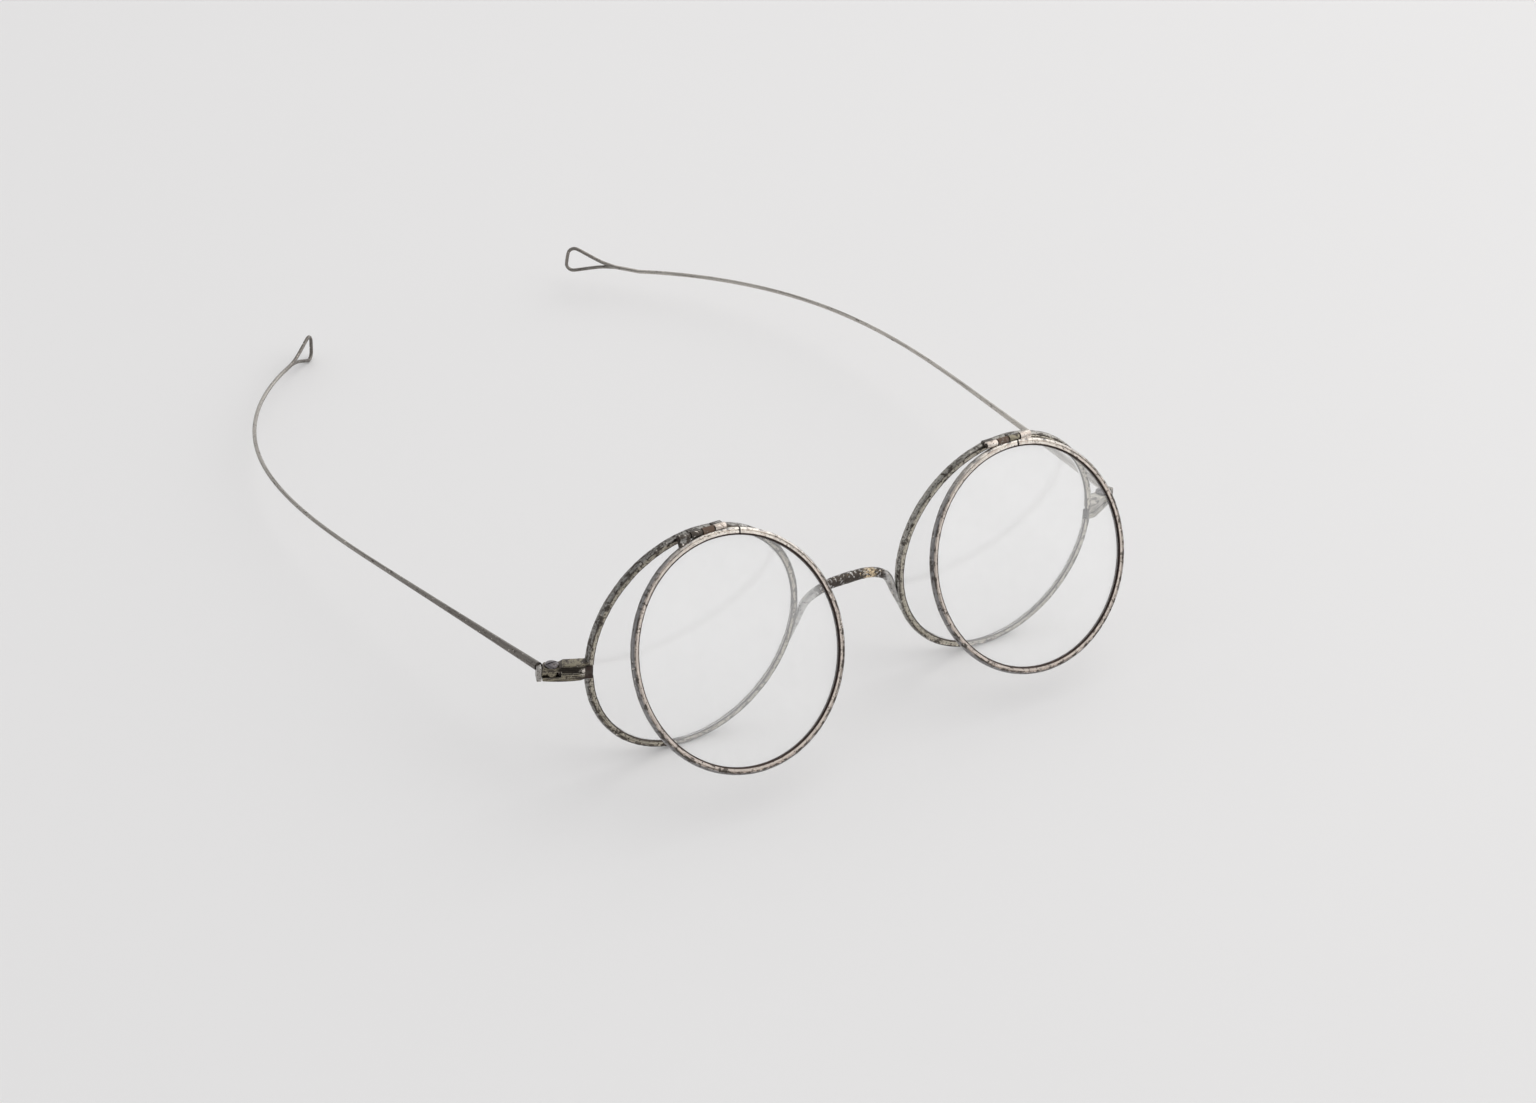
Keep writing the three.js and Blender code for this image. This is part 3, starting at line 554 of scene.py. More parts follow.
def outline_chain(points):
    """A closed chain of edges in the x-z plane, in edit mode"""
    fresh()
    bpy.ops.mesh.primitive_circle_add(vertices=len(points), fill_type="NOTHING", enter_editmode=True)
    mesh = bmesh.from_edit_mesh(bpy.context.object.data)
    mesh.verts.ensure_lookup_table()
    for vertex, (x, z) in zip(mesh.verts, points):
        vertex.co = (x, 0, z)
    bmesh.update_edit_mesh(bpy.context.object.data)


def blank(points, thickness):
    """An outline in the x-z plane, filled and extruded to a plate that is centred front to back"""
    outline_chain(points)
    bpy.ops.mesh.select_all(action="SELECT")
    bpy.ops.mesh.edge_face_add()
    bpy.ops.mesh.extrude_region_move(TRANSFORM_OT_translate={"value": (0, thickness, 0)})
    bpy.ops.mesh.select_all(action="SELECT")
    bpy.ops.transform.translate(value=(0, -thickness / 2, 0))
    close_shell()
    return done()


def lathed(profile, steps):
    """A profile of (radius, z) points from axis to axis, turned about z"""
    outline_chain(profile)
    ends = [Vector((r, 0, z)) for r, z in (profile[0], profile[-1])]
    pick("EDGE", lambda edge: all(min((v.co - end).length for end in ends) < 1e-5 for v in edge.verts))
    bpy.ops.mesh.delete(type="EDGE")
    bpy.ops.mesh.select_mode(type="VERT")
    bpy.ops.mesh.select_all(action="SELECT")
    bpy.ops.mesh.spin(steps=steps, angle=2 * math.pi, center=(0, 0, 0), axis=(0, 0, 1))
    close_shell()
    return done()


def rod(radius, depth, axis="X", sides=32):
    fresh()
    turn = {"X": (0, math.pi / 2, 0), "Y": (math.pi / 2, 0, 0), "Z": (0, 0, 0)}[axis]
    bpy.ops.mesh.primitive_cylinder_add(vertices=sides, radius=radius, depth=depth, rotation=turn)
    bpy.ops.object.transform_apply(location=True, rotation=True, scale=True)
    return bpy.context.object


def box(low, high):
    fresh()
    bpy.ops.mesh.primitive_cube_add(size=1)
    middle = [(a + b) / 2 for a, b in zip(low, high)]
    size = [b - a for a, b in zip(low, high)]
    return moved(bpy.context.object, Matrix.Translation(middle) @ Matrix.Diagonal((*size, 1)))


def wire(places, radii, sides=6):
    """A round wire drawn through places, with its own radius at each of them"""
    fresh()
    bpy.ops.curve.primitive_nurbs_path_add()
    bpy.ops.object.mode_set(mode="EDIT")
    bpy.ops.curve.select_all(action="SELECT")
    bpy.ops.curve.spline_type_set(type="POLY")
    bpy.ops.object.mode_set(mode="OBJECT")
    curve = bpy.context.object.data
    spline = curve.splines[0]
    spline.points.add(len(places) - len(spline.points))
    for point, place, radius in zip(spline.points, places, radii):
        point.co = (*place, 1)
        point.radius = radius
    curve.bevel_depth = 1
    curve.bevel_resolution = sides
    curve.use_fill_caps = True
    curve.twist_mode = "Z_UP"
    bpy.ops.object.convert(target="MESH")
    bpy.ops.object.mode_set(mode="EDIT")
    close_shell()
    return done()


def through(points, steps):
    """Places spaced evenly along a smooth line through the given points"""
    points = [Vector(point) for point in points]
    row = [2 * points[0] - points[1], *points, 2 * points[-1] - points[-2]]
    fine = []
    for corners in zip(row, row[1:], row[2:], row[3:]):
        knots = [0]
        for p, q in zip(corners, corners[1:]):
            knots.append(knots[-1] + max((q - p).length, 1e-6) ** 0.5)
        for k in range(CURVE_STEPS):
            t = knots[1] + (knots[2] - knots[1]) * k / CURVE_STEPS
            mixed = corners
            for spans in CURVE_SPANS:
                mixed = [
                    p.lerp(q, (t - knots[i]) / (knots[j] - knots[i]))
                    for p, q, (i, j) in zip(mixed, mixed[1:], spans)
                ]
            fine.append(mixed[0])
    fine.append(points[-1])
    walked = [0]
    for p, q in zip(fine, fine[1:]):
        walked.append(walked[-1] + (q - p).length)
    even = []
    index = 0
    for k in range(steps + 1):
        target = walked[-1] * k / steps
        while index < len(fine) - 2 and walked[index + 1] < target:
            index += 1
        share = (target - walked[index]) / max(walked[index + 1] - walked[index], 1e-9)
        even.append(fine[index].lerp(fine[index + 1], min(1, share)))
    return even


# Finishes

class Board:
    """Adds and links the nodes of one material or of the world"""

    def __init__(self, holder, shader="Principled BSDF"):
        holder.use_nodes = True
        self.holder = holder
        self.tree = holder.node_tree
        self.shader = self.tree.nodes[shader]

    def add(self, kind, values=None, **settings):
        node = self.tree.nodes.new(kind)
        for key, value in settings.items():
            setattr(node, key, value)
        for key, value in (values or {}).items():
            if isinstance(value, bpy.types.NodeSocket):
                self.tree.links.new(value, node.inputs[key])
            else:
                node.inputs[key].default_value = value
        return node

    def link(self, socket, name):
        self.tree.links.new(socket, self.shader.inputs[name])

    def fix(self, name, value):
        self.shader.inputs[name].default_value = value

    def split(self, vector):
        return self.add("ShaderNodeSeparateXYZ", {0: vector}).outputs

    def scaled(self, vector, scale):
        return self.add("ShaderNodeMapping", {"Vector": vector, "Scale": scale}).outputs[0]

    def millimetres(self):
        return self.scaled(self.add("ShaderNodeTexCoord").outputs["Object"], (1000, 1000, 1000))

    def grain(self):
        return self.add("ShaderNodeAttribute", attribute_name="grain").outputs["Vector"]

    def noise(self, place, scale, detail=3.0, roughness=0.55):
        values = {"Vector": place, "Scale": scale, "Detail": detail, "Roughness": roughness}
        return self.add("ShaderNodeTexNoise", values).outputs["Fac"]

    def ramp(self, value, low, high):
        """From 0 at low to 1 at high, which may be the smaller of the two"""
        values = {"Value": value, "From Min": low, "From Max": high}
        return self.add("ShaderNodeMapRange", values, interpolation_type="SMOOTHSTEP").outputs[0]

    def part(self, value, share, soft=0.035):
        """Where a noise is high, over about the given share of the surface"""
        middle = 0.5 + (0.5 - share) * 0.36
        return self.ramp(value, middle - soft, middle + soft)

    def maths(self, operation, *values, clamp=True):
        node = self.add("ShaderNodeMath", dict(enumerate(values)), operation=operation, use_clamp=clamp)
        return node.outputs[0]

    def times(self, a, b):
        return self.maths("MULTIPLY", a, b)

    def most(self, a, b):
        return self.maths("MAXIMUM", a, b)

    def vectors(self, operation, a, b):
        return self.add("ShaderNodeVectorMath", {0: a, 1: b}, operation=operation).outputs["Value"]

    def away(self, value, middle):
        """How far a value lies from the middle, to either side"""
        return self.maths("ABSOLUTE", self.maths("SUBTRACT", value, middle, clamp=False), clamp=False)

    def mix(self, share, a, b):
        a, b = ((*value, 1) if isinstance(value, tuple) else value for value in (a, b))
        values = {0: share, 6: a, 7: b}
        return self.add("ShaderNodeMix", values, data_type="RGBA", clamp_factor=True).outputs[2]

    def blend(self, share, a, b):
        return self.add("ShaderNodeMix", {0: share, 2: a, 3: b}, data_type="FLOAT").outputs[0]

    def dress(self, shade, rough, height, strength):
        """Links colour, roughness and bump to the shader"""
        self.link(shade, "Base Color")
        self.link(rough, "Roughness")
        values = {"Height": height, "Strength": strength, "Distance": BUMP_HEIGHT}
        self.link(self.add("ShaderNodeBump", values).outputs[0], "Normal")
        return self.holder


def material_board(name):
    return Board(bpy.data.materials.new(name))


def once(make):
    """Makes a finish the first time that it is asked for, and then finds it by its name"""
    def find(name, *values, **more):
        return bpy.data.materials.get(name) or make(name, *values, **more)

    return find


def tint(name):
    return tuple(getattr(bpy.context.scene.spectacles.finishes, name))


def metal_recipe(name):
    *colours, tarnish, speckle, wear = METALS[name]
    return (*map(tint, colours), tarnish, speckle, wear)


@once
def metal(name, front=None, rusty=False, rubbed=None, crown=None, streaks=0.0):
    """Old metal: a base colour, darker tarnish in patches, a near-black band on the front where asked, pits,
    bright spots and rust
    """
    base, dark, worn, tarnish, speckle, wear = metal_recipe(name)
    board = material_board(name)
    place = board.millimetres()
    mottle = board.noise(place, 2.6, 4, 0.6)
    cover = board.part(board.noise(place, 0.8, 5, 0.62), tarnish, 0.06)
    if streaks:
        flow = board.noise(board.scaled(place, (0.5, 0.5, 5.0)), 1.0, 4, 0.6)
        cover = board.most(cover, board.part(flow, streaks, 0.05))
    # A near-black band on the faces that look forwards, between two heights and beyond a point across
    if front:
        low, high, far = front
        across, _, height = board.split(place)
        facing = board.vectors("DOT_PRODUCT", board.add("ShaderNodeTexCoord").outputs["Normal"], (0, -1, 0))
        black = board.times(board.ramp(height, low - 0.15, low), board.ramp(height, high + 0.2, high))
        black = board.times(black, board.ramp(facing, 0.5, 0.75))
        black = board.times(black, board.ramp(across, far, far + 0.5))
        black = board.times(black, board.blend(board.part(mottle, 0.2), 0.95, 0.7))
    if crown:
        grit = board.part(board.noise(place, 1.7, 4, 0.65), 0.72, 0.03)
        pitted = board.times(board.ramp(board.away(board.split(place)["X"], 0.5), *crown), grit)
        cover = board.most(board.times(cover, 0.3), pitted)
    shade = board.mix(cover, base, dark)
    shade = board.mix(board.part(mottle, speckle), shade, dark)
    glints = board.part(board.noise(place, 1.9, 4, 0.65), wear)
    if rubbed:
        middle, reach = rubbed
        spot = board.ramp(board.vectors("DISTANCE", place, middle), reach, 0.2 * reach)
        spot = board.times(spot, board.part(mottle, 0.6))
        glints = board.most(glints, spot)
        if front:
            black = board.maths("SUBTRACT", black, spot)
    shade = board.mix(glints, shade, worn)
    holes = board.part(board.noise(place, 5.2, 2, 0.5), 0.08)
    # The near-black front band takes the colour of the deep pits
    if front:
        holes = board.most(holes, black)
    shade = board.mix(holes, shade, DEEP_PIT)
    rough = board.blend(glints, board.blend(cover, 0.3, 0.42), 0.22)
    if rusty:
        crust = board.part(board.noise(place, 0.9, 5, 0.7), 0.75, 0.07)
        shade = board.mix(crust, shade, tint("rust"))
        rough = board.blend(crust, rough, 0.68)
        board.link(board.blend(crust, 1.0, 0.2), "Metallic")
    else:
        board.fix("Metallic", 1)
    height = board.maths("SUBTRACT", board.times(mottle, 0.5), board.times(holes, 0.5))
    return board.dress(shade, rough, height, 0.45)


@once
def drawn_metal(name, bands=None, ends=None, dark_stretches=()):
    """Metal drawn through a die: streaks along it and, on a rim, a pale face, grey crest and dark groove"""
    face, dark, worn, tarnish, speckle, wear = metal_recipe(name)
    board = material_board(name)
    place = board.millimetres()
    grain = board.grain()
    along, off, _ = board.split(grain)
    streaks = board.noise(board.scaled(grain, (0.45, 2.4, 2.4)), 1.0, 4, 0.62)
    lines = board.noise(board.scaled(grain, (0.1, 5.0, 5.0)), 1.0, 3)
    blotches = board.noise(place, 0.85, 5, 0.66)
    mottle = board.noise(place, 2.3, 4, 0.62)
    shade = face
    stain = board.maths("ADD", board.times(blotches, 0.6), board.times(streaks, 0.4))
    if bands:
        crest, groove, line, lip, sway = bands
        wave = board.maths("MULTIPLY_ADD", mottle, sway, -sway / 2, clamp=False)
        off = board.maths("ADD", off, wave, clamp=False)
        shade = board.mix(board.ramp(off, line - 0.03, line + 0.12), face, crest)
        beside = board.ramp(board.away(off, line), 0.3, 0.03)
        stain = board.maths("ADD", stain, board.times(beside, 0.09))
    cover = board.part(stain, tarnish)
    shade = board.mix(board.times(cover, 0.9), shade, dark)
    # Darker over the given stretches along the wire, from where each starts to where it ends
    for stretch in dark_stretches:
        shade = board.mix(board.times(board.ramp(along, *stretch), 0.6), shade, dark)
    shade = board.mix(board.times(board.part(lines, 0.3), 0.45), shade, dark)
    glints = board.part(board.noise(place, 1.6, 4, 0.66), wear)
    if ends:
        reach, total = ends
        rest = board.maths("SUBTRACT", total, along, clamp=False)
        near = board.most(board.ramp(along, reach, 0), board.ramp(rest, reach, 0))
        glints = board.most(glints, board.times(near, board.part(blotches, 0.62, 0.06)))
    shade = board.mix(glints, shade, worn)
    shade = board.mix(board.part(mottle, speckle), shade, dark)
    if ends:
        cut = board.most(board.ramp(along, 0.18, 0.1), board.ramp(rest, 0.18, 0.1))
        shade = board.mix(cut, shade, tuple(0.5 * v for v in dark))
    if bands:
        shade = board.mix(board.ramp(off, lip + 0.05, lip - 0.05), shade, groove)
    holes = board.part(board.noise(place, 3.4, 3, 0.6), 0.6 * speckle)
    shade = board.mix(holes, shade, DRAWN_PIT)
    board.fix("Metallic", 1)
    rough = board.blend(glints, board.blend(cover, 0.34, 0.46), 0.32)
    height = board.maths("SUBTRACT", board.times(mottle, 0.6), board.times(holes, 0.4))
    return board.dress(shade, rough, height, 0.6)


@once
def lens_glass(name, haze):
    """Clear glass with a thin film of dust and haze; lamps shine through it"""
    board = material_board(name)
    place = board.millimetres()
    film = board.ramp(board.noise(place, 0.07, 4, 0.6), 0.3, 0.7)
    specks = board.ramp(board.noise(place, 1.9, 2, 0.5), 0.77, 0.8)
    clear = board.blend(film, 1 - 0.8 * haze, 1 - 1.2 * haze)
    board.link(board.blend(specks, clear, 0.72), "Transmission Weight")
    board.link(board.blend(film, 0.0, 0.02), "Roughness")
    board.fix("Base Color", (*tint("glass"), 1))
    board.fix("IOR", 1.5)
    path = board.add("ShaderNodeLightPath").outputs
    lit = board.most(path["Is Shadow Ray"], path["Is Diffuse Ray"])
    gap = board.add("ShaderNodeBsdfTransparent", {"Color": (0.997, 0.998, 0.998, 1)}).outputs[0]
    both = board.add("ShaderNodeMixShader", {0: lit, 1: board.shader.outputs[0], 2: gap}).outputs[0]
    board.tree.links.new(both, board.tree.nodes["Material Output"].inputs["Surface"])
    return board.holder


@once
def grime(name):
    """Old dirt on the ground edge of a lens, down in its groove"""
    board = material_board(name)
    crumbs = board.part(board.noise(board.millimetres(), 1.4, 4, 0.65), 0.4, 0.08)
    board.link(board.mix(crumbs, tint("flip_groove"), tint("rust")), "Base Color")
    board.link(board.blend(crumbs, 0.7, 0.9), "Roughness")
    return board.holder


def eyewire_metal(side):
    crest = {"left": "patina", "right": "pale_patina"}[side]
    return drawn_metal(side + "_eyewire_metal", bands=(tint(crest), tint("groove"), 0.3, -0.44, 0.2))


def flip_metal():
    radius, wall, *_ = rim_sizes("flip")
    bands = (tint("flip_metal"), tint("flip_groove"), 0.24, -0.38, 0.08)
    return drawn_metal("flip_rim_metal", bands=bands, ends=(22, 2 * math.pi * (radius - wall / 2)))


def wire_metal(side):
    dark_stretches = {"left": ((75, 10), (124, 136)), "right": ((126, 140),)}
    return drawn_metal(side + "_temple_metal", dark_stretches=dark_stretches[side])


def joint_metal(side, solder):
    if side == "right":
        return metal("right_joint_metal", streaks=0.35)
    return metal("left_joint_metal", front=(20.62, 21.6, -56.4), streaks=0.5, rubbed=(solder / MM, 1.0))


def bridge_metal():
    worn_through = front_place() @ (MM * Vector((4.4, -0.7, 1.3))) / MM
    return metal("bridge_metal", rubbed=(worn_through, 2.0), crown=(8.0, 6.5))


def knuckle_metal(side, place):
    kind = KNUCKLES[side][place]
    return metal(kind + "_knuckle_metal", rusty=kind == "rusted")


# Pieces

def bent(start, middle, end, count):
    """Points of an outline that leaves start towards middle and bends to end, without start itself"""
    points = []
    for k in range(1, count + 1):
        t = k / count
        shares = ((1 - t) ** 2, 2 * t * (1 - t), t ** 2)
        points.append([sum(a * b for a, b in zip(shares, values)) for values in zip(start, middle, end)])
    return points


def dome(radius, foot, height, count):
    """Outline of a rounded head, from its edge almost to its middle"""
    turns = [math.pi / 2 * k / count for k in range(count)]
    return [(radius * math.cos(turn), foot + height * math.sin(turn)) for turn in turns]


def spun_rim(kind, gap, lower_back=0.0):
    """A rim in the x-z plane whose grooved, half-round section is spun about y; its gap faces +x"""
    rims = sizes("rims")
    radius, wall, depth, groove_width, groove_depth = rim_sizes(kind)
    inner = radius - wall
    flat = depth / 2 - rims.lip
    near, touching = 1e-3, 1e-4
    crest = 0.36 * depth
    tip, side = 0.1 * flat, 0.9 * flat
    fresh()
    bpy.ops.mesh.primitive_plane_add(size=1, enter_editmode=True)
    bpy.ops.transform.resize(value=(wall, depth, 1))
    bpy.ops.transform.translate(value=(radius - wall / 2, 0, 0))
    pick("VERT", lambda v: v.co.x > radius - near)
    bpy.ops.mesh.bevel(offset=crest, segments=6, affect="VERTICES")
    pick("VERT", lambda v: v.co.x < inner + near)
    bpy.ops.mesh.bevel(offset=rims.lip, segments=3, affect="VERTICES")
    # The groove, and the lip behind it
    pick("EDGE", lambda e: all(abs(v.co.x - inner) < touching for v in e.verts))
    bpy.ops.mesh.subdivide(number_cuts=3)
    pick("VERT", lambda v: abs(v.co.x - inner) < touching and tip < abs(v.co.y) < side)
    bpy.ops.transform.resize(value=(1, groove_width / flat, 1), center_override=(inner, 0, 0))
    pick("VERT", lambda v: abs(v.co.x - inner) < touching and abs(v.co.y) < tip)
    bpy.ops.transform.translate(value=(groove_depth, 0, 0))
    pick("VERT", lambda v: v.co.x < inner + rims.lip - near and v.co.y > tip)
    bpy.ops.transform.translate(value=(lower_back, 0, 0))
    # The fine line scored round each face
    for face in (-depth / 2, depth / 2):
        pick("EDGE", lambda e: all(abs(v.co.y - face) < near for v in e.verts))
        bpy.ops.mesh.subdivide(number_cuts=7)
        mesh = bmesh.from_edit_mesh(bpy.context.object.data)
        across = sorted(v.co.x for v in mesh.verts if abs(v.co.y - face) < near)
        pick("VERT", lambda v: abs(v.co.y - face) < near and abs(v.co.x - across[-2]) < near)
        bpy.ops.transform.translate(value=(0, -math.copysign(rims.line, face), 0))
    bpy.ops.mesh.select_all(action="SELECT")
    bpy.ops.mesh.delete(type="ONLY_FACE")
    bpy.ops.mesh.select_all(action="SELECT")
    bpy.ops.mesh.spin(
        steps=RIM_STEPS, angle=2 * math.pi - gap, center=(0, 0, 0), axis=(0, 1, 0), use_auto_merge=False
    )
    close_shell()
    return moved(done(), Matrix.Rotation(-gap / 2, 4, "Y"))


def mark_ring_grain(rim, frame_of_ring, middle):
    """Marks the grain of a rim, measured round it from its gap"""
    back = frame_of_ring.inverted()

    def along(place):
        place = back @ place
        turn = math.atan2(place.z, place.x) % (2 * math.pi)
        return (turn * middle, math.hypot(place.x, place.z) - middle, place.y)

    mark_grain(rim, along)


class SPECTACLES_OT_eyewires(bpy.types.Operator):
    """Spin the two fixed eyewires, each open at the temple side"""

    bl_idname = "spectacles.eyewires"
    bl_label = "Eyewires"

    def execute(self, context):
        rims = sizes("rims")
        middle = rims.eyewire_radius - rims.eyewire_wall / 2
        low, high = (math.asin((way * rims.eyewire_opening / 2 - JOINT_DROP) / middle) for way in (-1, 1))
        drawn = spun_rim("eyewire", high - low, rims.eyewire_back)
        turned = Matrix.Rotation(-(low + high) / 2, 4, "Y")
        moved(drawn, turned)
        mark_ring_grain(drawn, turned, middle)
        for side in SIDES:
            piece = uneven(copied(drawn), grain=0.9, height=0.09)
            settle(piece, side + "_eyewire_rim", eye_place(side), eyewire_metal(side), side + "_eyewire")
        bpy.data.objects.remove(drawn, do_unlink=True)
        return {"FINISHED"}


class SPECTACLES_OT_flip_rims(bpy.types.Operator):
    """Spin the two flip rims, each with its closing seam and room for the hinge barrel"""

    bl_idname = "spectacles.flip_rims"
    bl_label = "Flip rims"

    def execute(self, context):
        rims = sizes("rims")
        hinge = hinge_sizes()
        middle = rims.flip_radius - rims.flip_wall / 2
        room_half = hinge.shoulder + hinge.head_height + hinge.barrel_clearance
        for side in SIDES:
            piece = spun_rim("flip", rims.flip_seam / middle)
            turned = Matrix.Rotation(math.radians(FLIP_SEAM[side] - 90), 4, "Y")
            hung = Matrix.Translation((-FLIP_SHIFT[side], 0, -hinge.rise)) @ turned
            moved(piece, hung)
            carve(piece, rod(hinge.radius + hinge.barrel_clearance, 2 * room_half))
            mark_ring_grain(piece, hung, middle)
            uneven(piece, grain=0.8, height=0.08)
            settle(
                piece, side + "_flip_rim_ring", flip_place(side), flip_metal(), side + "_flip_rim",
                body=side + "_flip",
            )
        return {"FINISHED"}


class SPECTACLES_OT_lenses(bpy.types.Operator):
    """Grind the four lenses and seat them in their grooves"""

    bl_idname = "spectacles.lenses"
    bl_label = "Lenses"

    def ground(self, kind):
        """A lens with a bevelled edge that fits the groove of its rim"""
        rims = sizes("rims")
        radius, wall, _, groove_width, groove_depth = rim_sizes(kind)
        inner = radius - wall
        edge = inner - rims.lens_clearance
        half = groove_width / 2 - rims.lens_clearance
        bulge = rims.lens_thickness / 2 - half
        rings = range(LENS_RINGS + 1)
        back = [(edge * k / LENS_RINGS, half - bulge * (1 - (k / LENS_RINGS) ** 2)) for k in rings]
        face = [(r, z - 2 * half) for r, z in back]
        bevel = (inner + groove_depth - rims.lens_clearance, 0)
        lens = lathed([*face, bevel, *reversed(back)], LENS_STEPS)
        refinish(lens, 1, lambda f: all(math.hypot(v.co.x, v.co.y) > edge - 0.01 for v in f.verts))
        return quarter_turned(lens, "X")

    def execute(self, context):
        rise = sizes("hinges").rise
        for side in SIDES:
            settle(
                self.ground("eyewire"), side + "_lens_glass", eye_place(side),
                lens_glass("fixed_lens_glass", haze=0.03), side + "_lens", slot="clear_glass", smooth=20,
            )
            settle(
                shifted(self.ground("flip"), -FLIP_SHIFT[side], 0, -rise), side + "_flip_lens_glass",
                flip_place(side), lens_glass("flip_lens_glass", haze=0.13), side + "_flip_lens",
                body=side + "_flip", slot="clear_glass", edge=grime("lens_edge_grime"), smooth=20,
            )
        return {"FINISHED"}


class SPECTACLES_OT_hinges(bpy.types.Operator):
    """Make the knuckles and pins of the two top hinges"""

    bl_idname = "spectacles.hinges"
    bl_label = "Top hinges"

    def slid(self, piece, hinge, place):
        """Moves a piece from the hinge's middle to one of its four places"""
        return shifted(piece, place * hinge.pitch - hinge.barrel / 2 + hinge.knuckle_length / 2, 0, 0)

    def tube(self, hinge, place, foot=None):
        tube = rod(hinge.radius, hinge.knuckle_length, sides=40)
        if foot:
            carve(tube, quarter_turned(blank(foot, hinge.knuckle_length), "Z"), "UNION")
        carve(tube, rod(hinge.bore, 2 * hinge.knuckle_length, sides=24))
        return self.slid(soften(tube, width=0.07), hinge, place)

    def strap(self, hinge, place):
        """A strap that runs from the barrel back over the eyewire, drawn from the side"""
        rims = sizes("rims")
        top = hinge.radius
        rim_top = rims.eyewire_radius - hinge.rise
        heel = hinge.forward - rims.eyewire_depth / 2
        back = heel + hinge.strap_overlap
        sink = -hinge.strap_thickness
        outline = [
            (0.15, top - 0.2), (0.3, 0.1), (heel, sink), (back, sink), (back, rim_top - 0.12),
            (back - 0.25, rim_top + 0.03), (heel + 0.1, rim_top + 0.08), (0.45, top - 0.22),
        ]
        strap = quarter_turned(blank(outline, hinge.knuckle_length - 0.1), "Z")
        return self.slid(soften(strap, width=0.12, segments=3), hinge, place)

    def foot(self, hinge, side, place):
        """Outline of the foot that joins a flip knuckle to the middle of the rim's wall"""
        rims = sizes("rims")
        wall = rims.flip_radius - rims.flip_wall / 2
        reach = (place + 1) * hinge.pitch - hinge.barrel / 2 + FLIP_SHIFT[side]
        drop = hinge.rise - math.sqrt(wall ** 2 - reach ** 2)
        half = hinge.foot_width / 2
        return [(-half, 0), (-half, -drop), (half, -drop), (half, 0)]

    def pin(self, hinge):
        head = dome(hinge.head_radius, hinge.shoulder, hinge.head_height, count=5)
        half = [(hinge.pin_radius, hinge.shoulder), *head, (0, hinge.shoulder + hinge.head_height)]
        return quarter_turned(lathed([*[(r, -z) for r, z in reversed(half)], *half], steps=24), "Y")

    def execute(self, context):
        hinge = hinge_sizes()
        for side in SIDES:
            fixed = hinge_place(side)
            for label, place in (("inner", 0), ("outer", 2)):
                name = f"{side}_fixed_knuckle_{label}"
                settle(self.tube(hinge, place), name + "_tube", fixed, knuckle_metal(side, place), name)
                settle(self.strap(hinge, place), name + "_strap", fixed, metal("pitted_knuckle_metal"), name)
            for label, place in (("inner", 1), ("outer", 3)):
                piece = self.tube(hinge, place, self.foot(hinge, side, place))
                name = f"{side}_flip_knuckle_{label}"
                settle(
                    piece, name + "_foot", flip_place(side), knuckle_metal(side, place), name,
                    body=side + "_flip", slot="rusted_metal",
                )
            settle(
                self.pin(hinge), side + "_hinge_pin_rod", fixed, metal("closing_block_metal"),
                side + "_hinge_pin", slot="rusted_metal",
            )
        return {"FINISHED"}


class SPECTACLES_OT_bridge(bpy.types.Operator):
    """Skin the bridge over a row of rings that run from foot to foot"""

    bl_idname = "spectacles.bridge"
    bl_label = "Bridge"

    def arch(self, size):
        """Points of the bridge's middle line, from foot to foot"""
        rims = sizes("rims")
        eye_x = abs(JOINTS["right_flip_up"]["pos_m"][0]) / MM
        foot_radius = rims.eyewire_radius + size.foot_height / 4

        def on_eyewire(drop):
            return eye_x - math.sqrt(foot_radius ** 2 - drop ** 2)

        shoulder = eye_x - rims.eyewire_radius - size.shoulder_inset
        between = (size.knee_drop + size.foot_drop) / 2
        half = [
            (shoulder - size.shoulder_run, size.rise - size.crown_sag),
            (shoulder, -size.shoulder_drop),
            (on_eyewire(size.knee_drop) - size.crown_height / 4, -size.knee_drop),
            (on_eyewire(between), -between),
            (on_eyewire(size.foot_drop), -size.foot_drop),
        ]
        outline = [*[(-x, z) for x, z in reversed(half)], (0, size.rise), *half]
        return [(x, size.set_back, z) for x, z in outline]

    def execute(self, context):
        size = sizes("bridge")
        # The feet thin out towards their ends and lie against the eyewires
        thin_start, thin_share, thin_power, thin_shift = 0.72, 0.72, 1.3, 0.3
        places = through(self.arch(size), BRIDGE_STEPS)
        rings = []
        for index, place in enumerate(places):
            out = abs(2 * index / BRIDGE_STEPS - 1)
            share = out ** 1.5
            thinned = max(0, out - thin_start) / (1 - thin_start)
            height = size.crown_height + (size.foot_height - size.crown_height) * share
            height *= 1 - thin_share * thinned ** thin_power
            depth = size.crown_depth + (size.foot_depth - size.crown_depth) * share
            place = place + Vector((math.copysign(thin_shift * thinned, place.x), 0, 0))
            ahead = places[min(index + 1, BRIDGE_STEPS)] - places[max(index - 1, 0)]
            turn = (0, math.atan2(ahead.x, ahead.z), 0)
            fresh()
            bpy.ops.mesh.primitive_circle_add(vertices=24, radius=0.5, location=place, rotation=turn)
            ring = bpy.context.object
            ring.scale = (height, depth, 1)
            rings.append(ring)
        piece = joined(*rings)
        bpy.ops.object.transform_apply(location=True, rotation=True, scale=True)
        bpy.ops.object.mode_set(mode="EDIT")
        bpy.ops.mesh.select_mode(type="EDGE")
        bpy.ops.mesh.select_all(action="SELECT")
        bpy.ops.mesh.bridge_edge_loops(type="SINGLE", twist_offset=0)
        close_shell()
        done()
        uneven(piece, grain=0.8, height=0.1)
        settle(piece, "bridge_wire", front_place(), bridge_metal(), "bridge")
        return {"FINISHED"}


